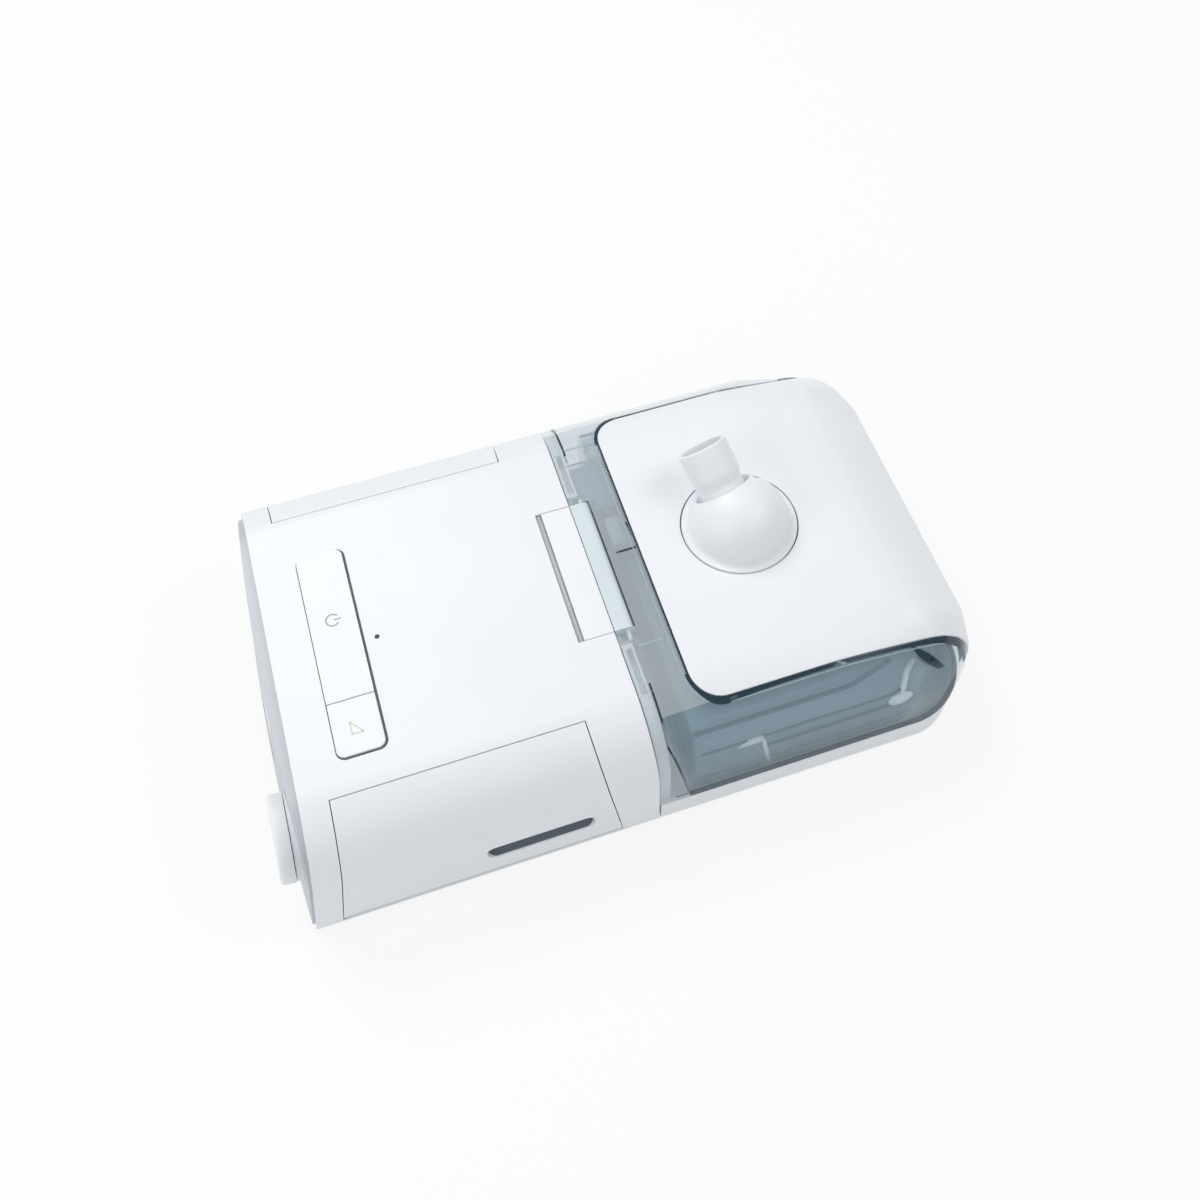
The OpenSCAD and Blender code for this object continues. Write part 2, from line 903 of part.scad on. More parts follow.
module blower_upper() {
    top = blower_z + blower_h;
    color("#d5d8dc")
        difference() {
            union() {
                post(blower_x, blower_y, blower_mid, top, blower_r);
                exit_box(blower_mid, top - 4, 0);
                tube(blower_x, blower_y, top - 1, top + 2, 18, 15);
            }
            post(blower_x, blower_y, blower_mid - 1, top - blower_wall, blower_r - blower_wall);
            exit_box(blower_mid - 1, top - 6, blower_wall);
            post(blower_x, blower_y, blower_mid, top + 3, 15);
        }
}

module motor() {
    color("#6e757b")
        difference() {
            post(blower_x, blower_y, blower_z + blower_wall, blower_z + blower_wall + motor_h, motor_r);
            post(blower_x, blower_y, blower_z, blower_z + 20, bearing_r);
        }
}

bearing_z = [blower_z + blower_wall + 0.5, blower_z + blower_wall + motor_h - bearing_h - 0.2];

module motor_bearings() {
    color("#b8bdc2")
        for (z = bearing_z)
            tube(blower_x, blower_y, z, z + bearing_h, bearing_r, shaft_r + run);
}

module impeller_shaft() {
    color("#c4c8cc")
        post(blower_x, blower_y, blower_z + blower_wall + 0.4, impeller_z + impeller_h - 1, shaft_r);
}

module impeller() {
    color("#e4e7ea")
        translate([blower_x, blower_y, impeller_z])
            difference() {
                union() {
                    cylinder(r = impeller_r, h = 1.5);
                    cylinder(r = 8, h = impeller_h - 2);
                    for (i = [0 : blades - 1])
                        rotate([0, 0, i * 360 / blades])
                            translate([impeller_r * 0.68, 0, 1])
                                rotate([0, 0, 35])
                                    box([-impeller_r * 0.26, impeller_r * 0.26], [-0.6, 0.6], [0, impeller_h - 1]);
                }
                translate([0, 0, -1])
                    cylinder(r = shaft_r, h = impeller_h + 2);
            }
}

mount_angles = [-15, 75, 165, 255];

module blower_mounts() {
    color("#3b3f43")
        translate([blower_x, blower_y, 0])
            for (a = mount_angles)
                rotate([0, 0, a])
                    tube(blower_r - 8, 0, floor_z, blower_z, mount_r, 2.2);
}

module outlet_duct() {
    color("#aab0b6")
        difference() {
            union() {
                box([exit_x, exit_x + 2], [exit_y - exit_half, exit_y + exit_half],
                    [port_z - port_r - 4, port_z + port_r + 4]);
                rod_x(exit_x + 1, dock_x1 + 2, port_y, port_z, port_r + duct_wall);
            }
            rod_x(exit_x - 1, dock_x1 + 3, port_y, port_z, port_r);
        }
}

module bay_block(inset) {
    box([-bay_x0 + inset, -bay_x1 - inset], [-box_y0 - (inset > 0 ? 1 : 0), -box_y1 - inset],
        [bay_z0 + inset, bay_z1 - inset]);
}

module inlet_box() {
    hood_x = [-bay_x0, blower_x + 22];
    hood_z = [blower_z + blower_h + 2 + gap, hood_z1];
    color("#b4bac0")
        difference() {
            union() {
                bay_block(0);
                box(hood_x, [-box_y1 - 3, blower_y + 22], hood_z);
            }
            bay_block(box_wall);
            box([hood_x[0] + box_wall, hood_x[1] - box_wall], [-box_y1 - 6, blower_y + 22 - box_wall],
                [hood_z[0] + 1.5, hood_z[1] - box_wall]);
            post(blower_x, blower_y, hood_z[0] - 1, hood_z[1] - box_wall, 16);
        }
}

module silencer_foam() {
    color("#55595e")
        box([-bay_x0 + box_wall + 0.2, -bay_x1 - box_wall - 0.2], [-box_y0 + 8, -box_y1 - box_wall - 0.2],
            [bay_z0 + box_wall, bay_z0 + 26]);
}

module filter_frame() {
    color("#9aa1a7")
        difference() {
            box([-bay_x0, -bay_x1], [-frame_y0, -frame_y0 + frame_t], [bay_z0, bay_z1]);
            box([-bay_x0 + 2, -bay_x1 - 2], [-frame_y0 - 1, -frame_y0 + frame_t + 1], [bay_z0 + 2, bay_z1 - 2]);
        }
}

module pollen_filter() {
    color("#4c5358")
        box([-bay_x0 + 2.1, -bay_x1 - 2.1], [-frame_y0 + 5.2, -frame_y0 + frame_t - 2.2],
            [bay_z0 + 2, bay_z1 - 2.2]);
}

module fine_filter() {
    color("#f2f2ee")
        box([-bay_x0 + 2.1, -bay_x1 - 2.1], [-frame_y0 + frame_t - 2, -frame_y0 + frame_t - 0.2],
            [bay_z0 + 2, bay_z1 - 2.2]);
}

modem_len = 54;
modem_h = 50;
modem_wall = 2;
modem_mid = -(therapy_len + 14) / 2;

module modem_blank() {
    x = [modem_mid - modem_len / 2, modem_mid + modem_len / 2];
    color("#e1e4e7")
        difference() {
            box(x, [box_y0 - 8, half_w - 8], [floor_z, floor_z + modem_h]);
            box([x[0] + modem_wall, x[1] - modem_wall], [box_y0, half_w - 7],
                [floor_z + modem_wall, floor_z + modem_h - modem_wall]);
        }
}

module dock_socket() {
    color("#2c3135")
        difference() {
            box([-20, rear_x], [dock_plug_y - 9, dock_plug_y + 9], [dock_plug_z - 5, dock_plug_z + 5]);
            box([-13, 1], [dock_plug_y - 6.5, dock_plug_y + 6.5], [dock_plug_z - 2.8, dock_plug_z + 2.8]);
        }
}

// Therapy unit: fasteners and feet -----------------------------------------------------------

foot_r = 7;
foot_sink = 1;
foot_in = 26;
foot_y = half_w - foot_in;
therapy_feet = [for (x = [foot_in - therapy_len, -2 - foot_in]) for (y = [-foot_y, foot_y]) [x, y]];
humid_feet = [for (x = [foot_in - 8, humid_len + 2 - foot_in]) for (y = [-foot_y, foot_y]) [x, y]];

module screw(x, y, z, length) {
    difference() {
        union() {
            post(x, y, z, z + screw_head_t, screw_head_r);
            post(x, y, z, z + length, screw_r);
        }
        for (turn = [0, 90])
            translate([x, y, z - 1])
                rotate([0, 0, turn])
                    box([-1.6, 1.6], [-0.4, 0.4], [0, 1.8]);
    }
}

module housing_screws() {
    color("#8b9197") {
        for (p = case_screws)
            screw(p[0], p[1], foot_h, case_screw_top - foot_h - 0.5);
        for (p = board_posts)
            screw(p[0], p[1], board_top - board_t - screw_head_t, 11);
    }
}

module foot(x, y) {
    post(x, y, 0.6, foot_h + foot_sink, foot_r);
    post(x, y, 0, 1, foot_r - 0.6);
}

module feet() {
    color("#4a4f54")
        for (p = therapy_feet)
            foot(p[0], p[1]);
}

module humidifier_feet() {
    color("#4a4f54")
        for (p = humid_feet)
            foot(p[0], p[1]);
}

module door_hinge_pins() {
    color("#c4c8cc")
        for (side = [0, 1])
            mirror([0, side, 0]) {
                rod_x(door_x0 - 6, door_x0 + door_pin_len, -door_hinge_y, door_hinge_z, door_pin_r);
                rod_x(door_x1 - door_pin_len, door_x1 + 6, -door_hinge_y, door_hinge_z, door_pin_r);
            }
}

// Doors --------------------------------------------------------------------------------------

scoop_depth = 6;
scoop_mouth = 5;

// Scoop of the air slot: a rounded mouth whose floor slopes up into the machine
module slot_scoop(grow) {
    r = 4;
    intersection() {
        translate([0, -half_w + scoop_depth + 1 + grow, 0])
            rotate([90, 0, 0])
                linear_extrude(scoop_depth + 4 + grow)
                    rounded_rect([-slot_x - slot_len / 2 - grow, -slot_x + slot_len / 2 + grow],
                        [slot_z - slot_h / 2 - grow, slot_z + slot_h / 2 + grow], r + grow);
        along_x(-therapy_len, 0)
            polygon([
                [-half_w - 2, slot_z - slot_h / 2 - 2 - 1.2 * grow],
                [-half_w + 0.6, slot_z - slot_h / 2 - 1.2 * grow],
                [-half_w + scoop_depth, slot_z + slot_h / 2 - scoop_mouth - 1.2 * grow],
                [-half_w + scoop_depth + 2 + grow, slot_z + slot_h / 2 - scoop_mouth - 1.2 * grow],
                [-half_w + scoop_depth + 2 + grow, slot_z + slot_h / 2 + 1 + grow],
                [-half_w - 2, slot_z + slot_h / 2 + 1 + grow]]);
    }
}

module filter_door() {
    color("#f0f2f4")
        difference() {
            union() {
                door_panel();
                intersection() {
                    slot_scoop(1.5);
                    box([-far, far], [-half_w + 1, -half_w + scoop_depth], [0, body_h]);
                }
            }
            slot_scoop(0);
        }
}

module modem_door() {
    color("#f0f2f4")
        far_side()
            door_panel();
}

// Humidifier: base ---------------------------------------------------------------------------

tank_rests = [[tank_x0 + 8, -60], [tank_x0 + 8, 60], [humid_len - 40, -56], [humid_len - 40, 56]];
lid_lugs = [-lid_lug_y, lid_lug_y];

module humidifier_base() {
    base_top = rim_z - 2 * gap;
    color("#eef1f3")
        difference() {
            union() {
                intersection() {
                    difference() {
                        humid_form();
                        humid_form(wall);
                    }
                    box([dock_x0, far], [-far, far], [0, base_top]);
                }
                along_x(dock_x0, dock_x1)
                    body_section(wall + gap);
                intersection() {
                    along_x(dock_x0, dock_x1)
                        body_section();
                    box([-far, far], [-far, far], [0, base_top]);
                }
                for (p = tank_rests)
                    post(p[0], p[1], floor_z - eps, tank_z - 0.1, 4);
                for (y = lid_lugs) {
                    rod_y(y - lid_lug_half, y + lid_lug_half, lid_hinge_x, lid_hinge_z, lid_roll_r - 0.2);
                    box([lid_hinge_x - 2.3, lid_hinge_x + 1.9], [y - lid_lug_half, y + lid_lug_half],
                        [base_top - 3, lid_hinge_z]);
                }
                box([humid_len - 14, humid_len - 1.5 * wall], [jack_y - 8, jack_y + 8],
                    [floor_z - eps, jack_z - jack_r]);
                for (y = [release_y - release_half - 4, release_y + release_half + 1])
                    box([humid_len - 12, humid_len - 2 * wall], [y, y + 3], [floor_z - eps, release_z + 4]);
                box([humid_len - 14, humid_len - 12], [release_y - 9, release_y + 9],
                    [floor_z - eps, release_z + 4]);
            }
            // Room under the latch, and for its hook
            box([dock_x0 - 1, dock_x1 + 1], [-latch_y - 6, latch_y + 6],
                [latch_roll_z - latch_roll_r - 1, body_h]);
            box([dock_x0 - 1, dock_x1 + 1], [-8, 8], [latch_roll_z - 15, body_h]);
            // Pockets in the dock wall's top edge
            for (side = [-1, 1])
                box([dock_x0 + 1.5, dock_x1 - 1], [side * 52 - 11, side * 52 + 11], [body_h - 8, body_h]);
            rod_x(dock_x0 - 1, dock_x1 + 1, port_y, port_z, port_r + 3.5);
            box([dock_x0 - 1, dock_x1 + 1], [dock_plug_y - 8.2, dock_plug_y + 8.2],
                [dock_plug_z - 4.2, dock_plug_z + 4.2]);
            rod_x(humid_len - 8, humid_len + 2, jack_y, jack_z, jack_r + 0.1);
            box([humid_len - 8, humid_len + 2], [release_y - release_half - gap, release_y + release_half + gap],
                [release_z - 4 - gap, release_z + 4 + gap]);
            for (y = lid_lugs)
                rod_y(y - 5, y + 5, lid_hinge_x, lid_hinge_z, lid_pin_r);
            for (p = humid_feet)
                post(p[0], p[1], 0, foot_h + foot_sink, foot_r + 0.1);
        }
}

module heater_element() {
    color("#8f959b") {
        post(heater_x, 0, floor_z, floor_z + element_t, heater_r - 8);
        box([heater_x - heater_r + 3, heater_x - 20], [-6, 6], [floor_z, floor_z + lead_t]);
    }
}

module heater_gasket() {
    color("#c9562f")
        difference() {
            tube(heater_x, 0, floor_z, floor_z + element_t + gasket_t, heater_r, heater_r - 4);
            box([heater_x - heater_r - 1, heater_x - 20], [-6.2, 6.2], [floor_z - 1, floor_z + lead_t]);
        }
}

module heater_plate() {
    color("#c8ccd0") {
        post(heater_x, 0, floor_z + element_t + gasket_t, heater_top, heater_r);
        post(heater_x, 0, floor_z + element_t, heater_top, heater_r - 8.5);
    }
}

module tank_form(inset) {
    intersection() {
        translate([-tank_end, 0, 0])
            humid_form(inset);
        box([tank_x0 + inset - tank_inset, far], [-far, far], [tank_z + inset - tank_inset, tank_top]);
    }
}

module water_tank() {
    color("#9fb6c1")
        difference() {
            tank_form(tank_inset);
            difference() {
                translate([-tank_end, 0, 0])
                    humid_form(tank_inset + tank_wall);
                box([-far, tank_x0 + tank_wall], [-far, far], [-1, far]);
                box([-far, far], [-far, far], [-1, tank_z + tank_wall]);
            }
            post(heater_x, 0, 0, tank_z + tank_wall + 1, heater_r - 2);
        }
}

module tank_plate() {
    color("#b9bec3") {
        post(heater_x, 0, tank_z, tank_z + 1, heater_r - 2);
        tube(heater_x, 0, tank_z, tank_z + tank_wall + 0.6, heater_r - 2, heater_r - 4);
    }
}

// Inlet passage of the tank
inlet_x = [tank_x0 + 4, tank_x0 + 15];
inlet_y = [port_y - 13, port_y + 13];

module tank_cover() {
    cover_x1 = humid_len - tank_end - 20;
    color("#a9bfc9")
        difference() {
            union() {
                intersection() {
                    translate([-tank_end, 0, 0])
                        humid_form(tank_inset + 1);
                    box([tank_x0, cover_x1], [-far, far], [tank_top, tank_top + tank_cover_t]);
                }
                post(swivel_x, 0, tank_top, collar_low - 0.6, chimney_r);
            }
            post(swivel_x, 0, tank_top - 1, body_h, chimney_r - chimney_wall);
            box([inlet_x[0] - gap, inlet_x[1] + gap], [inlet_y[0] - gap, inlet_y[1] + gap],
                [tank_top - 1, tank_top + tank_cover_t + 1]);
        }
}

module dry_box() {
    x0 = dock_x1;
    riser_x = [x0, tank_x0 - 1];
    top = tank_top + tank_cover_t + 8;
    color("#7c96a3")
        difference() {
            union() {
                box(riser_x, inlet_y, [port_z - port_r - 3, top]);
                box([x0, inlet_x[1]], inlet_y, [tank_top + tank_cover_t + gap, top]);
                box(inlet_x, inlet_y, [tank_top - 4, top]);
            }
            box([x0 + 1.5, riser_x[1] - 1.5], [inlet_y[0] + 1.5, inlet_y[1] - 1.5],
                [port_z - port_r - 1.5, top - 1.5]);
            box([x0 + 1.5, inlet_x[1] - 1.5], [inlet_y[0] + 1.5, inlet_y[1] - 1.5],
                [tank_top + tank_cover_t + gap + 1.5, top - 1.5]);
            box([inlet_x[0] + 1.5, inlet_x[1] - 1.5], [inlet_y[0] + 1.5, inlet_y[1] - 1.5],
                [tank_top - 5, top - 1.5]);
            rod_x(x0 - 1, x0 + 3, port_y, port_z, port_r);
            rod_x(x0 - 1, x0 + 2.5, port_y, port_z, port_r + duct_wall + gap);
        }
}

module inlet_seal() {
    color("#c9562f")
        difference() {
            rod_x(dock_x0 + 0.2, dock_x1, port_y, port_z, port_r + 3.5);
            rod_x(dock_x0 - 1, dock_x1 + 1, port_y, port_z, port_r + duct_wall + gap);
        }
}

module dock_connector() {
    color("#2c3135") {
        box([dock_x0 + 0.2, dock_x1 + 4], [dock_plug_y - 8, dock_plug_y + 8], [dock_plug_z - 4, dock_plug_z + 4]);
        box([-11, dock_x0 + 1], [dock_plug_y - 6, dock_plug_y + 6], [dock_plug_z - 2.4, dock_plug_z + 2.4]);
    }
}

module power_inlet() {
    color("#2c3135")
        difference() {
            union() {
                rod_x(humid_len - 12, humid_len - 1.8, jack_y, jack_z, jack_r);
                rod_x(humid_len - 13, humid_len - 8, jack_y, jack_z, jack_r - 1);
            }
            rod_x(humid_len - 11, humid_len, jack_y, jack_z, 3.75);
        }
}

module release_button() {
    color("#aab0b6")
        difference() {
            union() {
                intersection() {
                    box([humid_len - 7.5, humid_len + 1], [release_y - release_half, release_y + release_half],
                        [release_z - 4, release_z + 4]);
                    translate([0.6, 0, 0])
                        linear_extrude(body_h)
                            plan_outline(0);
                }
                box([humid_len - 8.2, humid_len - 6.5], [release_y - release_half, release_y + release_half],
                    [release_z - 4, release_z + 4]);
            }
            box([humid_len - 9, humid_len - 4], [release_y - release_half + 2, release_y + release_half - 2],
                [release_z - 2.5, release_z + 2.5]);
        }
}

module lid_hinge_pins() {
    color("#c4c8cc")
        for (y = lid_lugs)
            rod_y(y - 9, y + 9, lid_hinge_x, lid_hinge_z, lid_pin_r);
}

// Humidifier: lid ----------------------------------------------------------------------------

module plate_zone(grow) {
    translate([0, 0, plate_low_z - grow])
        linear_extrude(body_h)
            rounded_rect([plate_x - grow, humid_len + 60], [-plate_y - grow, plate_y + grow],
                plate_corner_r + grow);
}

module lid_shell() {
    lug_room = lid_roll_r + 0.5;
    color("#8fa6b3")
        difference() {
            union() {
                difference() {
                    intersection() {
                        difference() {
                            humid_form();
                            humid_form(wall);
                        }
                        box([lid_x0, far], [-far, far], [rim_z, body_h + 1]);
                    }
                    difference() {
                        plate_zone(0.15);
                        humid_form(recess_t);
                    }
                    box([humid_len - 12, far], [-lid_hinge_half, lid_hinge_half], [0, lid_hinge_z]);
                    box([-1, latch_roll_x + latch_roll_r + gap], [-latch_y - gap, latch_y + gap],
                        [body_h - 20, body_h + 1]);
                }
                rod_y(-lid_hinge_half, lid_hinge_half, lid_hinge_x, lid_hinge_z, lid_roll_r);
                for (y = [-latch_y - gap - 4, latch_y + gap])
                    box([latch_roll_x - 3.5, latch_roll_x + 3], [y, y + 4],
                        [latch_roll_z - 3, top_in + eps]);
            }
            for (y = lid_lugs) {
                rod_y(y - lid_lug_half - gap, y + lid_lug_half + gap, lid_hinge_x, lid_hinge_z, lug_room);
                box([lid_hinge_x - lug_room, far], [y - lid_lug_half - gap, y + lid_lug_half + gap],
                    [0, lid_hinge_z]);
                rod_y(y - 10, y + 10, lid_hinge_x, lid_hinge_z, lid_pin_r + run);
            }
            rod_y(-latch_y - 10, latch_y + 10, latch_roll_x, latch_roll_z, lid_pin_r + run);
            post(swivel_x, 0, rim_z, body_h + 1, swivel_bore_r + 3.5);
        }
}

module lid_cover() {
    color("#f3f5f7")
        difference() {
            intersection() {
                humid_form(-plate_proud);
                plate_zone(0);
            }
            humid_form(recess_t);
            post(swivel_x, 0, 0, body_h + 2, swivel_ring_r);
        }
}

module swivel_collar() {
    color("#dfe3e6")
        difference() {
            union() {
                post(swivel_x, 0, collar_low, swivel_z, swivel_bore_r + 3.5);
                post(swivel_x, 0, top_in - 2, top_in, swivel_bore_r + 6);
            }
            post(swivel_x, 0, 0, body_h, swivel_bore_r);
        }
}

module lid_seal() {
    color("#c9562f")
        tube(swivel_x, 0, collar_low - 0.3, top_in - 2, chimney_r + 1, swivel_bore_r + 3.5);
}

hook_y = 6;

module lid_latch() {
    color("#cfe3ea")
        difference() {
            union() {
                rod_y(-latch_y, latch_y, latch_roll_x, latch_roll_z, latch_roll_r);
                box([0.4, latch_roll_x], [-latch_y, latch_y], [body_h - 2.8, body_h + 0.1]);
                box([-latch_over + 1.5, 1], [-latch_y + 1.5, latch_y - 1.5], [body_h - 3.4, body_h - 1.8]);
                box([latch_roll_x - 1.8, latch_roll_x - 0.2], [-hook_y, hook_y],
                    [latch_roll_z - 9, latch_roll_z]);
                box([latch_roll_x - 1.8, latch_roll_x + 1.2], [-hook_y, hook_y],
                    [latch_roll_z - 9, latch_roll_z - 7.4]);
            }
            for (side = [-1, 1])
                rod_y(side * latch_y - 6, side * latch_y + 6, latch_roll_x, latch_roll_z, lid_pin_r);
        }
}

module latch_pad() {
    color("#f6f8fa") {
        difference() {
            box([-latch_over, 0.1], [-latch_y, latch_y], [body_h - 3.4, body_h + 0.1]);
            box([-latch_over + 1.5, 1], [-latch_y + 1.5, latch_y - 1.5], [body_h - 4, body_h - 1.8]);
        }
        for (side = [-1, 1])
            rod_y(side * (latch_y + 0.5) - 4, side * (latch_y + 0.5) + 3, latch_roll_x, latch_roll_z, lid_pin_r);
    }
}

// Outlet elbow -------------------------------------------------------------------------------

module along_outlet() {
    translate([swivel_x, 0, elbow_z])
        rotate([0, 0, outlet_turn])
            rotate([0, 90 - outlet_tilt, 0])
                children();
}

ring_z = collar_low + 3;
ring_wire = 0.8;

module outlet_elbow() {
    spigot_r = swivel_bore_r - run;
    color("#f1f3f5")
        difference() {
            union() {
                post(swivel_x, 0, collar_low - 0.3, elbow_z, spigot_r);
                post(swivel_x, 0, collar_low - 2, collar_low - 0.3, spigot_r + 0.8);
                post(swivel_x, 0, swivel_z + gap, body_h + plate_proud + 0.4, swivel_ring_r - 0.6);
                intersection() {
                    translate([swivel_x, 0, elbow_z])
                        sphere(r = dome_r);
                    post(swivel_x, 0, elbow_z - 0.4, elbow_z + dome_r + 1, dome_r + 1);
                    along_outlet()
                        translate([0, 0, -dome_r - 1])
                            cylinder(r = dome_r + 1, h = dome_r + 1 + dome_cut);
                }
                along_outlet()
                    cylinder(r = outlet_r - 0.4, h = outlet_len - 1);
                along_outlet()
                    translate([0, 0, outlet_len - 14])
                        cylinder(r = outlet_r, h = 14);
            }
            post(swivel_x, 0, collar_low - 3, elbow_z, spigot_r - 2.6);
            translate([swivel_x, 0, elbow_z])
                sphere(r = spigot_r - 2.6);
            along_outlet()
                cylinder(r = outlet_bore_r, h = outlet_len + 1);
            translate([swivel_x, 0, ring_z])
                rotate_extrude()
                    translate([spigot_r - ring_wire, 0])
                        circle(r = ring_wire + 0.05, $fn = 32);
        }
}

module swivel_ring() {
    color("#c9562f")
        translate([swivel_x, 0, ring_z])
            rotate_extrude()
                translate([swivel_bore_r - run - ring_wire, 0])
                    circle(r = ring_wire, $fn = 32);
}

// Everything sits about the middle of the machine's length
module placed() {
    translate([join_x, 0, 0])
        children();
}

placed() base_pan();
placed() top_cover();
placed() front_bezel();
placed() display_window();
placed() lcd_module();
placed() rear_panel();
placed() main_board();
placed() encoder();
placed() key_switches();
placed() light_sensor();
placed() card_reader();
placed() data_card();
placed() blower_lower();
placed() blower_upper();
placed() motor();
placed() motor_bearings();
placed() blower_mounts();
placed() outlet_duct();
placed() inlet_box();
placed() silencer_foam();
placed() filter_frame();
placed() pollen_filter();
placed() fine_filter();
placed() modem_blank();
placed() dock_socket();
placed() housing_screws();
placed() feet();
placed() door_hinge_pins();
placed() power_button();
placed() ramp_button();
placed() button_springs();
placed() dial_plunger();
placed() dial_spring();
placed() control_dial();
placed() filter_door();
placed() modem_door();
placed() impeller();
placed() impeller_shaft();
placed() humidifier_base();
placed() heater_plate();
placed() heater_gasket();
placed() heater_element();
placed() water_tank();
placed() tank_cover();
placed() tank_plate();
placed() dry_box();
placed() inlet_seal();
placed() dock_connector();
placed() power_inlet();
placed() release_button();
placed() humidifier_feet();
placed() lid_hinge_pins();
placed() lid_shell();
placed() lid_cover();
placed() lid_seal();
placed() swivel_collar();
placed() lid_latch();
placed() latch_pad();
placed() swivel_ring();
placed() outlet_elbow();
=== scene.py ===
"""Looks of the CPAP therapy unit and its humidifier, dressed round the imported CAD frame.

Shaping code counts in millimetres and MM turns them into metres. The camera, the floor and the lamps are
placed in metres. Near is the side of the air slot (-y), far the other one.
"""

import json
import math

import bmesh
import bpy
from mathutils import Matrix, Vector
from mathutils.bvhtree import BVHTree


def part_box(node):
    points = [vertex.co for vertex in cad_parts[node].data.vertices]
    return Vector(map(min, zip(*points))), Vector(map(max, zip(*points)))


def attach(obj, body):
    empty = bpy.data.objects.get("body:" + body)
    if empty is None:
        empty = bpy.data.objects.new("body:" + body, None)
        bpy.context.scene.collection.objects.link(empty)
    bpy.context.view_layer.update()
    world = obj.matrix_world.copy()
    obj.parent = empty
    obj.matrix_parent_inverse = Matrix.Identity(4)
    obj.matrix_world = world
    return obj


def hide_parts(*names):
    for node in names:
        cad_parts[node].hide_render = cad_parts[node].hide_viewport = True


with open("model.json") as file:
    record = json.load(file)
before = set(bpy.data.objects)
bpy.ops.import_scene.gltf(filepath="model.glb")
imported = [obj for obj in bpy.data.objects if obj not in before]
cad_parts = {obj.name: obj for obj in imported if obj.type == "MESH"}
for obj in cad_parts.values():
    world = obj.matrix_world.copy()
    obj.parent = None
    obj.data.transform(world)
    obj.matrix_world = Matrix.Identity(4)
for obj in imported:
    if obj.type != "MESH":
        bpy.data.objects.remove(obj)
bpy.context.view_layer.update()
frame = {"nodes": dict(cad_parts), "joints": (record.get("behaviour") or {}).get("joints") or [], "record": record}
NODES = frame["nodes"]
RECORD = frame["record"]
BODY_OF = {n: body for body, names in RECORD["behaviour"]["bodies"].items() for n in names}
SLOT_OF = {s["node"]: s["material_slot"] for s in RECORD["subparts"]}
PIVOT = {j["name"]: Vector(j["pos_m"]) for j in frame["joints"] if "pos_m" in j}
DIAL_AXIS = Vector(next(j["axis"] for j in frame["joints"] if j["name"] == "dial_turn"))
SIDES = ((-1, "near"), (1, "far"))
MM = 0.001


def box_mm(node):
    """Low and high corner of a node's box, in mm."""
    return [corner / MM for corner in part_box(node)]


# Camera, fitted to the photo -----------------------------------------------------------------

PHOTO_PX = 1200
SENSOR_MM = 36
AZIMUTH, ELEVATION, ROLL = math.radians(-17.545), math.radians(60.822), math.radians(-1.09)
DISTANCE = 0.52208
FOCAL_PX = 1138.4
SIDE_STEP, UP_STEP = 0.0201, 0.00356
SHIFT_PX = 45
TARGET = Vector((3.867 * MM, 0, 40 * MM))
CLIP_START, CLIP_END = 0.01, 20


def make_camera():
    """Camera that sees the part as the photo does."""
    back = Vector((math.sin(AZIMUTH) * math.cos(ELEVATION), -math.cos(AZIMUTH) * math.cos(ELEVATION),
                   math.sin(ELEVATION)))
    level = Vector((math.cos(AZIMUTH), math.sin(AZIMUTH), 0))
    over = back.cross(level)
    right = level * math.cos(ROLL) + over * math.sin(ROLL)
    up = over * math.cos(ROLL) - level * math.sin(ROLL)
    data = bpy.data.cameras.new("photo_camera")
    data.sensor_width = SENSOR_MM
    data.lens = FOCAL_PX / PHOTO_PX * SENSOR_MM
    data.shift_x = -SHIFT_PX / PHOTO_PX
    data.clip_start, data.clip_end = CLIP_START, CLIP_END
    cam = bpy.data.objects.new("photo_camera", data)
    bpy.context.scene.collection.objects.link(cam)
    place = TARGET + back * DISTANCE + right * SIDE_STEP + up * UP_STEP
    turn = Matrix((right, up, back)).transposed().to_4x4()
    cam.matrix_world = Matrix.Translation(place) @ turn
    bpy.context.scene.camera = cam
    bpy.context.scene.view_settings.view_transform = "Standard"


# Materials -----------------------------------------------------------------------------------

# Places of the colour sockets in a Mix node, whose socket names are not unique.
MIX_FACTOR, MIX_A, MIX_B, MIX_RESULT = 0, 6, 7, 2
SECOND_TONE = 0.955


def linear(hex_colour):
    """sRGB hex text to linear RGBA."""
    channels = [int(hex_colour[i:i + 2], 16) / 255 for i in (1, 3, 5)]
    return (*[c / 12.92 if c <= 0.04045 else ((c + 0.055) / 1.055) ** 2.4 for c in channels], 1)


def add(tree, kind, **inputs):
    """A node with its inputs set by name; underscores stand for spaces."""
    node = tree.nodes.new(kind)
    for key, value in inputs.items():
        node.inputs[key.replace("_", " ")].default_value = value
    return node


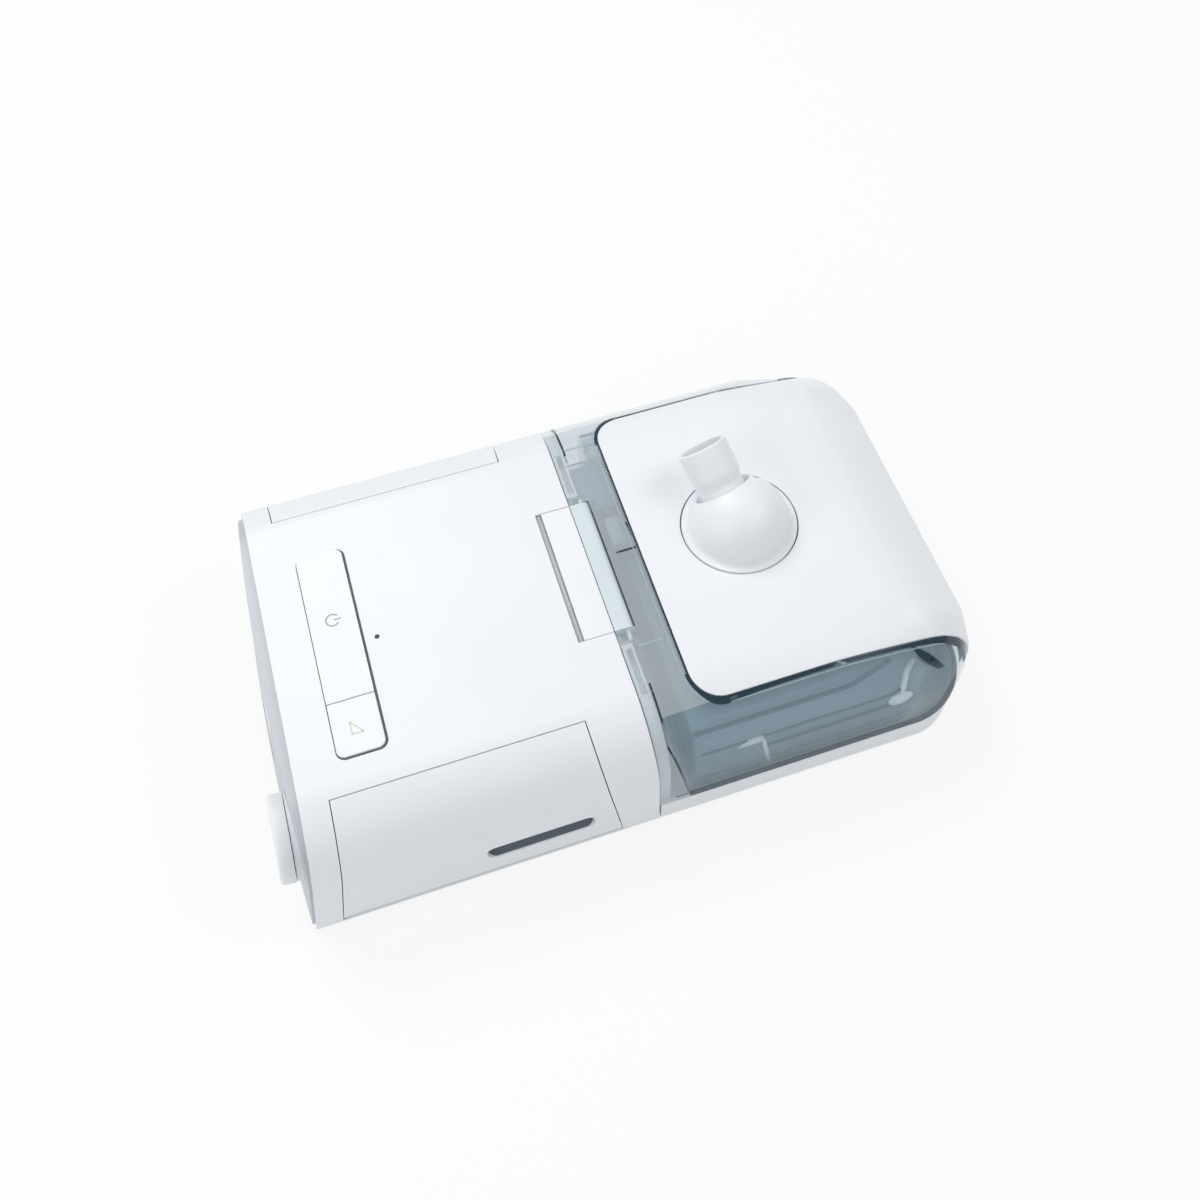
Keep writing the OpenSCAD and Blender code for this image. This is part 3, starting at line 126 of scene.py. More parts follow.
def moulded(name, colour, roughness=0.4, other=None, grain=0.0004, bump=0.02, patch=0.03, spread=0.06,
            **sockets):
    """Plastic, rubber or metal: two close tones in soft patches, a fine surface grain and uneven gloss.

    grain and patch are lengths in metres; other sockets of the shader are set by name.
    """
    material = bpy.data.materials.new(name)
    material.use_nodes = True
    tree = material.node_tree
    shader = tree.nodes["Principled BSDF"]
    for key, value in sockets.items():
        shader.inputs[key.replace("_", " ")].default_value = value
    where = add(tree, "ShaderNodeTexCoord")
    patches = add(tree, "ShaderNodeTexNoise", Scale=1 / patch, Detail=3)
    tones = add(tree, "ShaderNodeMix")
    tones.data_type = "RGBA"
    base = linear(colour)
    darker = (*[c * SECOND_TONE for c in base[:3]], 1)
    tones.inputs[MIX_A].default_value = base
    tones.inputs[MIX_B].default_value = linear(other) if other else darker
    gloss = add(tree, "ShaderNodeMapRange", To_Min=roughness - spread / 2, To_Max=roughness + spread / 2)
    fine = add(tree, "ShaderNodeTexNoise", Scale=1 / grain, Detail=2)
    relief = add(tree, "ShaderNodeBump", Strength=bump, Distance=grain)
    link = tree.links.new
    for texture in (patches, fine):
        link(where.outputs["Object"], texture.inputs["Vector"])
    link(patches.outputs["Fac"], tones.inputs[MIX_FACTOR])
    link(tones.outputs[MIX_RESULT], shader.inputs["Base Color"])
    link(fine.outputs["Fac"], gloss.inputs["Value"])
    link(gloss.outputs["Result"], shader.inputs["Roughness"])
    link(fine.outputs["Fac"], relief.inputs["Height"])
    link(relief.outputs["Normal"], shader.inputs["Normal"])
    return material


def foam(name, colour, cell=0.0014):
    """Open-cell foam or filter felt: small pits in a matt web; cell is a length in metres."""
    material = moulded(name, colour, 0.9, grain=cell / 3, bump=0.4, patch=0.01)
    tree = material.node_tree
    shader = tree.nodes["Principled BSDF"]
    where = tree.nodes["Texture Coordinate"]
    pores = add(tree, "ShaderNodeTexVoronoi", Scale=1 / cell)
    relief = add(tree, "ShaderNodeBump", Strength=0.8, Distance=cell / 2)
    tree.links.new(where.outputs["Object"], pores.inputs["Vector"])
    tree.links.new(pores.outputs["Distance"], relief.inputs["Height"])
    tree.links.new(relief.outputs["Normal"], shader.inputs["Normal"])
    return material


def clear(name, colour, other, alpha, roughness=0.12, bump=0.004, grain=0.005, **sockets):
    """See-through plastic: it lets light past by alpha, without bending it."""
    return moulded(name, colour, roughness, other, grain=grain, bump=bump, Alpha=alpha, **sockets)


WHITE = moulded("white_shell", "#F1F3F6", 0.42, "#ECEFF2", grain=0.0005, bump=0.03)
WHITE_SMOOTH = moulded("white_smooth", "#F3F5F8", 0.42, "#EEF1F4", bump=0.012)
GREY_FACE = moulded("grey_face", "#C8CCD1", 0.42, "#BDC2C7", bump=0.04)
GREY_LIGHT = moulded("grey_light", "#D3D7DB", 0.45, "#C8CDD2", bump=0.04)
DARK = moulded("dark_plastic", "#2A2E32", 0.5, "#23272B", bump=0.06)
DARK_WINDOW = moulded("display_glass", "#9BA1A7", 0.15, "#8F969C", grain=0.004, bump=0.004, Coat_Weight=0.6)
RUBBER = moulded("dark_rubber", "#45494E", 0.75, "#3B3F44", grain=0.0008, bump=0.15)
SILICONE = moulded("silicone", "#C9CED2", 0.55, "#BBC2C7", bump=0.05)
STEEL = moulded("steel", "#B4B8BC", 0.28, "#9DA2A7", grain=0.0003, bump=0.05, Metallic=1.0)
HEATER = moulded("heater_metal", "#B9BDC1", 0.35, "#A5AAAF", grain=0.0003, bump=0.08, Metallic=1.0)
BOARD = moulded("circuit_board", "#2E6B4B", 0.4, "#275D41", bump=0.1)
INNER = moulded("inner_plastic", "#BFC5CA", 0.5, "#B2B9BF", bump=0.06)
FOAM = foam("filter_foam", "#5A5F64")
FELT = foam("filter_felt", "#EDEEEA", 0.0008)
TINTED = clear("tinted_clear", "#C6DEEA", "#BAD5E3", 0.2, Coat_Weight=0.2)
# Dark teal: painted shade along the clear lid's edges, round the cover plate and in its far-end corners; also the
# latch keeper's bars and blocks.
DARK_TINT_AND_SHADE = clear("dark_tint_and_painted_shade", "#24414F", "#1C3542", 0.92, 0.15, 0.01, 0.004)
PALE_CLEAR = clear("pale_clear", "#EEF7FA", "#E3F0F5", 0.85, 0.2, 0.006, 0.004)
TANK = clear("tank_clear", "#BEDCE9", "#B1D2E1", 0.29, 0.14)
LID_CLEAR = clear("lid_clear", "#E4EFF3", "#DAE8ED", 0.28)
# Paler copy of the lid's tint: painted light on the lid's top.
LID_TOP_LIGHT = clear("lid_top_painted_light", "#E0E8EE", "#D5DFE6", 0.42, 0.14)
LID_LINE = clear("lid_line", "#C9D8DF", "#BCCDD6", 0.55, 0.2, 0.01, 0.0004)
TANK_EDGE = moulded("tank_edge", "#1E2F39", 0.2, "#26404D", bump=0.01)
TANK_LIGHT = moulded("tank_light", "#F6FBFD", 0.25, "#EAF3F7", bump=0.01)
# Painted shade of the gap round the keys.
KEY_GAP_SHADE = moulded("key_gap_painted_shade", "#5B6065", 0.6, "#4F5459", bump=0.08)
# Painted shade for the finger groove beside the latch.
GROOVE_SHADE = moulded("groove_painted_shade", "#CFCDD2", 0.6, "#C5C3C9", bump=0.08)
MARK_GREY = moulded("mark_grey", "#9A9DA1", 0.5, bump=0.03)
# Painted shade inside the air slot.
SLOT_SHADE = moulded("slot_shade", "#5A6570", 0.6, "#525D68", bump=0.06)
SIGN_BLUE = moulded("sign_blue_grey", "#8FA8B5", 0.4, bump=0.01)
SIGN_GREEN = moulded("sign_pale_green", "#D3D6B8", 0.4, bump=0.01)

SLOT_LOOK = {
    "white_housing": WHITE, "white_trim": WHITE_SMOOTH, "grey_face": GREY_FACE,
    "dark_window": DARK_WINDOW, "tinted_lid": TINTED, "pale_clear": PALE_CLEAR, "clear_tank": TANK,
    "dark_rubber": RUBBER, "silicone": SILICONE, "steel": STEEL, "heater_metal": HEATER,
    "circuit_board": BOARD, "dark_plastic": DARK, "inner_plastic": INNER, "filter_foam": FOAM,
}
NODE_LOOK = {"fine_filter": FELT, "swivel_collar": GREY_LIGHT, "rear_panel": GREY_LIGHT}


def look_of(node):
    """A node's own look, or that of its slot in the record."""
    return NODE_LOOK.get(node, SLOT_LOOK[SLOT_OF[node]])


def dress_nodes():
    """Every CAD node gets its look."""
    for name, node in NODES.items():
        node.data.materials.clear()
        node.data.materials.append(look_of(name))


# Softened CAD pieces -------------------------------------------------------------------------

FLAT_ANGLE = math.radians(0.6)
SHARP_ANGLE = math.radians(32)
WELD = 1e-6
EDGE_STEPS = 2

EDGE_WIDTHS = {
    "base_pan": 0.5, "top_cover": 0.2, "modem_door": 0.12,
    "power_button": 0.35, "ramp_button": 0.35, "latch_pad": 0.4, "lid_latch": 0.4,
    "humidifier_base": 0.5, "lid_cover": 0.6, "swivel_collar": 0.3, "water_tank": 0.6, "tank_cover": 0.5,
    "release_button": 0.4, "rear_panel": 0.3, "feet": 0.4, "humidifier_feet": 0.4,
    "filter_frame": 0.3, "power_inlet": 0.2,
}
SLOT_DOOR_EDGE, BEZEL_EDGE, LID_EDGE = 0.12, 0.4, 0.5


def softened(node, width):
    """The node's own shape with its moulded edges rounded; it stands for the node."""
    mesh = NODES[node].data.copy()
    form = bmesh.new()
    form.from_mesh(mesh)
    bmesh.ops.remove_doubles(form, verts=form.verts, dist=WELD)
    bmesh.ops.dissolve_limit(form, angle_limit=FLAT_ANGLE, verts=form.verts, edges=form.edges)
    for face in form.faces:
        face.smooth = True
    form.to_mesh(mesh)
    form.free()
    piece = bpy.data.objects.new(node + "_shape", mesh)
    bpy.context.scene.collection.objects.link(piece)
    mesh.materials.clear()
    mesh.materials.append(look_of(node))
    bevel = piece.modifiers.new("edges", "BEVEL")
    bevel.width = width * MM
    bevel.segments = EDGE_STEPS
    bevel.limit_method = "ANGLE"
    bevel.angle_limit = SHARP_ANGLE
    bevel.harden_normals = True
    shade = piece.modifiers.new("shading", "WEIGHTED_NORMAL")
    shade.keep_sharp = True
    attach(piece, BODY_OF[node])
    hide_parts(node)
    return piece


def second_look(piece, corners, look):
    """Gives a look to the faces of a piece whose corners are all among these."""
    for face in piece.data.polygons:
        if corners.issuperset(face.vertices):
            face.material_index = 1
    piece.data.materials.append(look)


# Outlines and paths in mm --------------------------------------------------------------------

ROUNDING_STEPS = 5
MOST_OF_HALF = 0.49


def rounded_path(points, closed=False):
    """(x, y, radius) corners to a smooth run of points; radius 0 keeps the corner."""
    path = []
    count = len(points)
    for i, (x, y, radius) in enumerate(points):
        here = Vector((x, y))
        if radius == 0 or (not closed and i in (0, count - 1)):
            path.append(here)
            continue
        to_last = Vector(points[i - 1][:2]) - here
        to_next = Vector(points[(i + 1) % count][:2]) - here
        half = to_last.angle(to_next) / 2
        room = min(to_last.length, to_next.length) * MOST_OF_HALF
        reach = min(radius / math.tan(half), room)
        bend = reach * math.tan(half)
        middle = (to_last.normalized() + to_next.normalized()).normalized()
        centre = here + middle * (bend / math.sin(half))
        start = here + to_last.normalized() * reach - centre
        turn = start.angle_signed(here + to_next.normalized() * reach - centre)
        for k in range(ROUNDING_STEPS + 1):
            a = -turn * k / ROUNDING_STEPS
            path.append(centre + Vector((start.x * math.cos(a) - start.y * math.sin(a),
                                         start.x * math.sin(a) + start.y * math.cos(a))))
    return path


def arc(centre, radius, start, end, steps):
    """Points along an arc, angles in degrees."""
    angles = [math.radians(start + (end - start) * k / steps) for k in range(steps + 1)]
    return [(centre[0] + radius * math.cos(a), centre[1] + radius * math.sin(a)) for a in angles]


def plain(points):
    """The same points as corners that a rounded path leaves as they are."""
    return [(x, y, 0) for x, y in points]


def rounded_outline(x, y, radius, steps=8):
    """Closed outline of a rounded rectangle."""
    corners = [((x[1] - radius, y[1] - radius), 0), ((x[0] + radius, y[1] - radius), 90),
               ((x[0] + radius, y[0] + radius), 180), ((x[1] - radius, y[0] + radius), 270)]
    return [p for centre, start in corners for p in arc(centre, radius, start, start + 90, steps)]


def ribbon(points, width):
    """Outline of a band of that width along an open run of points."""
    left, right = [], []
    for i, point in enumerate(points):
        here = Vector(point)
        before = Vector(points[max(i - 1, 0)])
        after = Vector(points[min(i + 1, len(points) - 1)])
        along = (after - before).normalized()
        side = Vector((-along.y, along.x)) * width / 2
        left.append(here + side)
        right.append(here - side)
    return [tuple(p) for p in left + right[::-1]]


def row_of(start, step, count=9):
    """Points from start, each one step on from the last."""
    return [tuple(a + b * k for a, b in zip(start, step)) for k in range(count)]


# Forms ---------------------------------------------------------------------------------------

STRIP_FLAT, STRIP_SHOULDER = 0.72, 0.5


def finished(form, name):
    """Mesh of a form, which is freed."""
    mesh = bpy.data.meshes.new(name)
    form.to_mesh(mesh)
    form.free()
    return mesh


def link_piece(name, form, body, material, smooth=True):
    """A piece from a finished form: linked, dressed and riding on its body."""
    mesh = finished(form, name)
    piece = bpy.data.objects.new(name, mesh)
    bpy.context.scene.collection.objects.link(piece)
    mesh.materials.append(material)
    for face in mesh.polygons:
        face.use_smooth = smooth
    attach(piece, body)
    return piece


def standing(origin, direction):
    """Frame at origin whose z runs along direction."""
    return Matrix.Translation(origin) @ Vector(direction).to_track_quat("Z", "Y").to_matrix().to_4x4()


def bridge(form, low, high):
    """Faces between two loops of equal count."""
    count = len(low)
    for k in range(count):
        n = (k + 1) % count
        form.faces.new([low[k], low[n], high[n], high[k]])


def lathe_form(profile, place, steps=128):
    """Closed (radius, height) profile in mm turned about the z of place."""
    form = bmesh.new()
    rings = []
    for r, h in profile:
        if r < WELD:
            rings.append([form.verts.new((0, 0, h * MM))])
        else:
            out = r * MM
            turns = [2 * math.pi * k / steps for k in range(steps)]
            rings.append([form.verts.new((out * math.cos(a), out * math.sin(a), h * MM)) for a in turns])
    for low, high in zip(rings, rings[1:] + rings[:1]):
        if len(low) == len(high) == 1:
            continue
        for k in range(steps):
            n = (k + 1) % steps
            corners = [low[k % len(low)], low[n % len(low)], high[n % len(high)], high[k % len(high)]]
            form.faces.new(list(dict.fromkeys(corners)))
    bmesh.ops.recalc_face_normals(form, faces=form.faces)
    form.transform(place)
    return form


def slab_form(outlines, low, high, edge=0.0):
    """Upright slabs in mm from closed (x, y) outlines, with a small bevel round the top."""
    form = bmesh.new()
    for outline in outlines:
        bottom = [form.verts.new((x * MM, y * MM, low * MM)) for x, y in outline]
        face = form.faces.new(bottom)
        raised = bmesh.ops.extrude_face_region(form, geom=[face])
        top = [v for v in raised["geom"] if isinstance(v, bmesh.types.BMVert)]
        bmesh.ops.translate(form, verts=top, vec=(0, 0, (high - low) * MM))
        if edge:
            rim = [e for e in form.edges if all(v in top for v in e.verts)]
            bmesh.ops.bevel(form, geom=rim, offset=edge * MM, segments=EDGE_STEPS, affect="EDGES")
    bmesh.ops.recalc_face_normals(form, faces=form.faces)
    return form


def frame_form(outer, inner, low, high):
    """Upright ring in mm between two outlines of equal count."""
    form = bmesh.new()
    loops = [[form.verts.new((px * MM, py * MM, z * MM)) for px, py in outline]
             for outline, z in ((outer, low), (outer, high), (inner, high), (inner, low))]
    for a, b in zip(loops, loops[1:] + loops[:1]):
        bridge(form, a, b)
    bmesh.ops.recalc_face_normals(form, faces=form.faces)
    return form


def combined(first, second, operation="UNION"):
    """Exact boolean of two closed forms, as a new form."""
    scene = bpy.context.scene.collection
    objects = [bpy.data.objects.new("blank", finished(form, "blank")) for form in (first, second)]
    for item in objects:
        scene.objects.link(item)
    cut = objects[0].modifiers.new("cut", "BOOLEAN")
    cut.object = objects[1]
    cut.operation = operation
    cut.solver = "EXACT"
    bpy.context.view_layer.update()
    result = bmesh.new()
    result.from_mesh(objects[0].evaluated_get(bpy.context.evaluated_depsgraph_get()).to_mesh())
    for item in objects:
        bpy.data.objects.remove(item)
    return result


def shell_tree(mesh):
    """Search tree of a mesh, for finding points on its surface."""
    form = bmesh.new()
    form.from_mesh(mesh)
    tree = BVHTree.FromBMesh(form)
    form.free()
    return tree


def touch(tree, start, goal):
    """Where a line from start to goal (mm) first meets the surface: point in mm and normal."""
    start, goal = Vector(start) * MM, Vector(goal) * MM
    place, normal, _, _ = tree.ray_cast(start, (goal - start).normalized())
    return place / MM, normal


def resting(tree, points):
    """Nearest places of a surface to points in mm, with their normals."""
    found = [tree.find_nearest(Vector(point) * MM)[:2] for point in points]
    return [(place / MM, normal) for place, normal in found]


def strip_form(hits, width, rise, sink):
    """Band along (point, normal) places of a surface, in mm; width is one number or one for each place."""
    widths = width if isinstance(width, list) else [width] * len(hits)
    form = bmesh.new()
    rows = []
    for i, (place, normal) in enumerate(hits):
        before = hits[max(i - 1, 0)][0]
        after = hits[min(i + 1, len(hits) - 1)][0]
        side = (after - before).cross(normal).normalized() * widths[i] / 2
        up, down = normal * rise, -normal * sink
        flat, shoulder = side * STRIP_FLAT, up * STRIP_SHOULDER
        corners = [place - side + down, place - side + shoulder, place - flat + up,
                   place + flat + up, place + side + shoulder, place + side + down]
        rows.append([form.verts.new(c * MM) for c in corners])
    for low, high in zip(rows, rows[1:]):
        bridge(form, low, high)
    form.faces.new(rows[0])
    form.faces.new(rows[-1][::-1])
    bmesh.ops.recalc_face_normals(form, faces=form.faces)
    return form


# Therapy unit pieces -------------------------------------------------------------------------

def make_slot_door():
    """Near door whose air slot's inside is painted a darker grey: painted shade in the slot."""
    door = softened("filter_door", SLOT_DOOR_EDGE)
    low, high = next(o for o in RECORD["physics"]["openings"] if o["name"] == "air_slot")["box_m"]
    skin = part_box("filter_door")[0].y + 0.05 * MM
    margin = 4 * MM
    inside = {c.index for c in door.data.vertices
              if c.co.y > skin and low[0] - margin < c.co.x < high[0] + margin
              and low[2] - 2 * margin < c.co.z < high[2] + margin}
    # Painted shade: the faces inside the air slot take the darker grey.
    second_look(door, inside, SLOT_SHADE)


SEAT_R = 18.6 * MM
SEAT_DEPTH = (5.5 * MM, 12.5 * MM)


def make_bezel():
    """Grey face whose round dial seat is white like the dial."""
    bezel = softened("front_bezel", BEZEL_EDGE)
    seat = set()
    for corner in bezel.data.vertices:
        away = corner.co - PIVOT["dial_turn"]
        height = away.dot(DIAL_AXIS)
        spread = (away - DIAL_AXIS * height).length
        if spread < SEAT_R and SEAT_DEPTH[0] < -height < SEAT_DEPTH[1]:
            seat.add(corner.index)
    second_look(bezel, seat, WHITE_SMOOTH)


def make_dial():
    """Turned cap with a shallow dish in its front, a softly rounded rim and a thin skirt round its seat."""
    rim_r, bore_r, shaft_r = 18.5, 10.2, 3.0
    dish, dish_r, ridge_r = 0.35, rim_r - 6, rim_r - 3.5
    back, shaft_end = 4.85, 26
    skirt, skirt_r = back + 1.25, rim_r - 0.35
    bore_floor = back - 2.3
    profile = [(0, dish, 0), (dish_r, dish, 4), (ridge_r, 0, 2), (rim_r, 0, 1.7),
               (rim_r, skirt, 0.1), (skirt_r, skirt, 0), (skirt_r, back, 0.1),
               (bore_r, back, 0.3), (bore_r, bore_floor, 0.3), (shaft_r, bore_floor, 0.3),
               (shaft_r, shaft_end, 0), (0, shaft_end, 0)]
    form = lathe_form(rounded_path(profile), standing(PIVOT["dial_turn"], -DIAL_AXIS))
    dial = link_piece("dial_cap", form, "dial", WHITE_SMOOTH)
    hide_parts("control_dial")


def make_signs():
    """Generic on/off sign on the long key and a rising-ramp triangle on the short one."""
    stroke, thin_stroke = 0.62, 0.496
    power_y, ramp_y = 9.6, -41.0
    ring_r, ring_gap, bar_start, bar_past = 2.75, 38, 0.5, 0.8
    leg_x, leg_y = 4.6, 5.4
    half_thick = 0.05
    low, high = box_mm("power_button")
    heights = (high.z - half_thick, high.z + half_thick)
    key_x = (low.x + high.x) / 2
    ring = arc((key_x, power_y), ring_r, ring_gap, 360 - ring_gap, 48)
    bar = [(key_x + bar_start, power_y), (key_x + ring_r + bar_past, power_y)]
    form = slab_form([ribbon(ring, stroke), ribbon(bar, stroke)], *heights)
    link_piece("power_sign", form, "power_key", SIGN_BLUE, smooth=False)
    x0, y0 = key_x - leg_x / 2, ramp_y - leg_y / 2
    tips = [(x0, y0), (x0 + leg_x, y0), (x0, y0 + leg_y)]
    legs = [ribbon(pair, thin_stroke) for pair in zip(tips, tips[1:] + tips[:1])]
    form = slab_form(legs, *heights)
    link_piece("ramp_sign", form, "ramp_key", SIGN_GREEN, smooth=False)


def make_key_gap_shade():
    """Painted shade of the gap round both keys: a dark band, wider on the sides away from the light."""
    key_flange, inner_r, outer_r = 1.2, 3.4, 4.0
    lip, more_right, more_near = 0.32, 0.55, 0.45
    sink, stand = 0.3, 0.04
    low, high = box_mm("power_button")
    near_y = box_mm("ramp_button")[0].y
    top = box_mm("top_cover")[1].z
    x = (low.x + key_flange, high.x - key_flange)
    y = (near_y + key_flange, high.y - key_flange)
    inner = rounded_outline(x, y, inner_r)
    outer_x = (x[0] - lip, x[1] + lip + more_right)
    outer_y = (y[0] - lip - more_near, y[1] + lip)
    form = frame_form(rounded_outline(outer_x, outer_y, outer_r), inner, top - sink, top + stand)
    # The dark band is painted shade of the gap round the keys.
    link_piece("key_gap_shade", form, "therapy_unit", KEY_GAP_SHADE, smooth=False)


def make_groove_shade():
    """Grey slab in the finger groove beside the latch: painted shade of the groove."""
    width, corner_r, edge = 2.3, 1.1, 0.3
    gap, far_gap, near_past = 0.15, 0.6, 2.2
    bottom, depth = 3.9, 1.1
    pad_low, pad_high = box_mm("latch_pad")
    top = box_mm("top_cover")[1].z
    x1, y1 = pad_low.x - gap, pad_high.y - far_gap
    outline = rounded_outline((x1 - width, x1), (-y1 - near_past, y1), corner_r, 5)
    form = slab_form([outline], top - bottom, top - depth, edge)
    # The grey slab is painted shade in the groove.
    link_piece("groove_shade", form, "therapy_unit", GROOVE_SHADE)


# Outlet elbow --------------------------------------------------------------------------------

DOME_R, DOME_CUT, CORE_R = 22, 17, 12.3
ELBOW_STEPS = 144


def elbow_upper(pivot):
    """Dome cut where the outlet leaves it, with a rolled lip and a groove round the flared tube."""
    outlet = Vector(next(m for m in RECORD["mounts"] if m["name"] == "hose_outlet")["axis"])
    bore_r, tube_r, length = 9, 11, 38
    flare, flare_length, cone_length = 0.35, 10, 14
    groove = DOME_CUT - 3
    lip_r = math.sqrt(DOME_R ** 2 - DOME_CUT ** 2)
    cut_turn = math.degrees(math.asin(DOME_CUT / DOME_R)) - 3
    bore_turn = 90 - math.degrees(math.asin(bore_r / CORE_R))
    tube = [(bore_r, length - flare_length, 0), (bore_r + flare, length, 0.5), (tube_r, length, 0.9),
            (tube_r, length - cone_length, 3), (tube_r - 0.9, DOME_CUT + 2.5, 2), (tube_r - 0.5, groove, 0.8)]
    lip = [(lip_r - 1.7, groove, 0.8), (lip_r - 1.1, DOME_CUT + 0.35, 0.55),
           (lip_r + 0.15, DOME_CUT + 0.1, 0.6)]
    outside = plain(arc((0, 0), DOME_R, cut_turn, -90, 40))
    inside = plain(arc((0, 0), CORE_R, -90, bore_turn, 24))
    upper = lathe_form(rounded_path(tube + lip + outside + inside), standing(pivot, outlet), ELBOW_STEPS)
    reach, below = 60, 0.4
    x, z = pivot.x / MM, pivot.z / MM
    square = [(x - reach, -reach), (x + reach, -reach), (x + reach, reach), (x - reach, reach)]
    return combined(upper, slab_form([square], z - below, z + reach), "INTERSECT")


def elbow_foot(pivot):
    """Flange on the cover plate with a cove up to the dome, and the spigot that turns in the collar."""
    bore_r, spigot_r, bead_r, flange_r = CORE_R + 0.1, 14.95, 15.75, 25.4
    foot, bead_top, spigot_low = -12.1, -10.6, -10.4
    flange_top = (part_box("lid_cover")[1].z - pivot.z) / MM + 0.4
    flange_low, cove_top = flange_top - 2.1, flange_top + 2.2
    profile = [(bore_r, foot, 0), (bead_r, foot, 0.3), (bead_r, bead_top, 0.2), (spigot_r, spigot_low, 0),
               (spigot_r, flange_low, 0), (flange_r, flange_low, 0.2), (flange_r, flange_top, 0.8),
               (DOME_R + 1.2, flange_top, 1.6), (DOME_R - 0.35, cove_top, 0), (bore_r, cove_top, 0)]
    return lathe_form(rounded_path(profile, closed=True), Matrix.Translation(pivot), ELBOW_STEPS)


def mark_dome(elbow, pivot):
    """Two short grey marks on the dome, beside the tube."""
    tree = shell_tree(elbow.data)
    centre = pivot / MM
    outside, steps = 3, 4
    for k, ends in enumerate((((7.0, 13.6, 16), (8.6, 12.2, 16)), ((9.6, 11.3, 16), (11.2, 9.5, 16)))):
        start, end = (Vector(point) for point in ends)
        run = [start.lerp(end, i / steps) for i in range(steps + 1)]
        hits = [touch(tree, centre + point * outside, centre) for point in run]
        link_piece(f"dome_mark_{k}", strip_form(hits, 1.5, 0.05, 0.3), "elbow", MARK_GREY)


def make_elbow():
    """Swivel elbow: dome, outlet tube, flange and spigot in one moulding."""
    pivot = PIVOT["elbow_turn"]
    form = combined(elbow_upper(pivot), elbow_foot(pivot))
    elbow = link_piece("elbow_shape", form, "elbow", WHITE_SMOOTH)
    elbow.data.set_sharp_from_angle(angle=SHARP_ANGLE)
    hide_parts("outlet_elbow")
    mark_dome(elbow, pivot)


# Lid pieces ----------------------------------------------------------------------------------

LID_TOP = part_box("lid_shell")[1].z / MM
LID_OUTSIDE_Y = 96
CLEAR_X, CLEAR_LEAN = 6.6, 0.15


def clear_edge_x(z):
    """Where the clear strip over the dock wall ends; it leans on the lid's sides."""
    return CLEAR_X + CLEAR_LEAN * (LID_TOP - z)


def make_lid():
    """See-through lid: clear over the dock wall, blue-grey at the sides, with painted light on its top and painted
    shade along its rim.
    """
    rim_band, top_band, level = 0.3 * MM, 4 * MM, 0.9
    lid = softened("lid_shell", LID_EDGE)
    mesh = lid.data
    form = bmesh.new()
    form.from_mesh(mesh)
    bmesh.ops.bisect_plane(form, geom=form.verts[:] + form.edges[:] + form.faces[:],
                           plane_co=(CLEAR_X * MM, 0, LID_TOP * MM), plane_no=(1, 0, CLEAR_LEAN))
    rim, top = (corner.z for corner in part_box("lid_shell"))
    for face in form.faces:
        centre = face.calc_center_median()
        if centre.x < clear_edge_x(centre.z / MM) * MM:
            face.material_index = 1
        elif abs(centre.z - rim) < rim_band:
            # Painted shade along the lid's rim.
            face.material_index = 2
        elif face.normal.z > level and centre.z > top - top_band:
            # Painted light: the top faces take a paler copy of the tint.
            face.material_index = 3
    form.to_mesh(mesh)
    form.free()
    for look in (LID_CLEAR, DARK_TINT_AND_SHADE, LID_TOP_LIGHT):
        mesh.materials.append(look)


def plate_edge(tree, grow):
    """Places on the lid round the cover plate, grown by that much, from far end to far end."""
    low, high = box_mm("lid_cover")
    x0, y1 = low.x - grow, high.y + grow
    corner_r = 13 + grow
    hub_x, hub_z, outside = 100, 28, 200
    bend = arc((hub_x, hub_z), outside, 8, 90, 36)
    flat_start, flat_end = hub_x - 4, x0 + corner_r
    hits = []
    for side, _ in SIDES:
        run = [touch(tree, (px, side * y1, pz), (hub_x, side * y1, hub_z)) for px, pz in bend]
        flat = [(flat_start + (flat_end - flat_start) * k / 8, side * y1) for k in range(9)]
        turn = arc((flat_end, side * (y1 - corner_r)), corner_r, side * 90, side * 180, 12)
        run += [touch(tree, (px, py, outside), (px, py, 0)) for px, py in flat + turn]
        hits += run if side < 0 else run[::-1]
    return hits


def make_plate_edge():
    """Painted shadow of the cover plate's edge as a dark band round it on the lid, and the bright line outside it.
    """
    tree = shell_tree(NODES["lid_shell"].data)
    # Painted shadow under the plate's edge.
    form = strip_form(plate_edge(tree, 0.55), 1.0, 0.12, 0.6)
    link_piece("plate_rim_shadow", form, "lid", DARK_TINT_AND_SHADE)
    form = strip_form(plate_edge(tree, 2.6), 0.45, 0.05, 0.5)
    link_piece("plate_line", form, "lid", LID_LINE)


def make_plate_shadow():
    """Painted shadow under the plate's rim, thickened at its dock-side corners and round the far end."""
    tree = shell_tree(NODES["lid_shell"].data)
    hits = plate_edge(tree, 1.3)
    half = len(hits) // 2
    thin = 0.8
    swells = ((3.6, 12, 9), (3.4, 48, 4))
    # The painted shadow swells at the far-end bend and at the dock-side corner.
    widths = [thin + sum(swell * math.exp(-((k - peak) / spread) ** 2) for swell, peak, spread in swells)
              for k in range(half)]
    for name, run in (("near", hits[:half]), ("far", hits[half:][::-1])):
        form = strip_form(run, widths, 0.06, 0.6)
        link_piece("plate_shadow_" + name, form, "lid", DARK_TINT_AND_SHADE)


def corner_shade(side, row):
    """One of the bands of painted shade that lie side by side in the lid's lower far-end corner, with its widths.
    """
    steps = 9 - row
    start = (118 + 0.6 * row, side * (76 + 0.7 * row), 70.5 - 1.6 * row)
    points = row_of(start, (1.6, side * 0.9, -1.5), steps + 1)
    return points, [0.4 + 2.2 * math.sin(math.pi * k / steps) for k in range(steps + 1)]


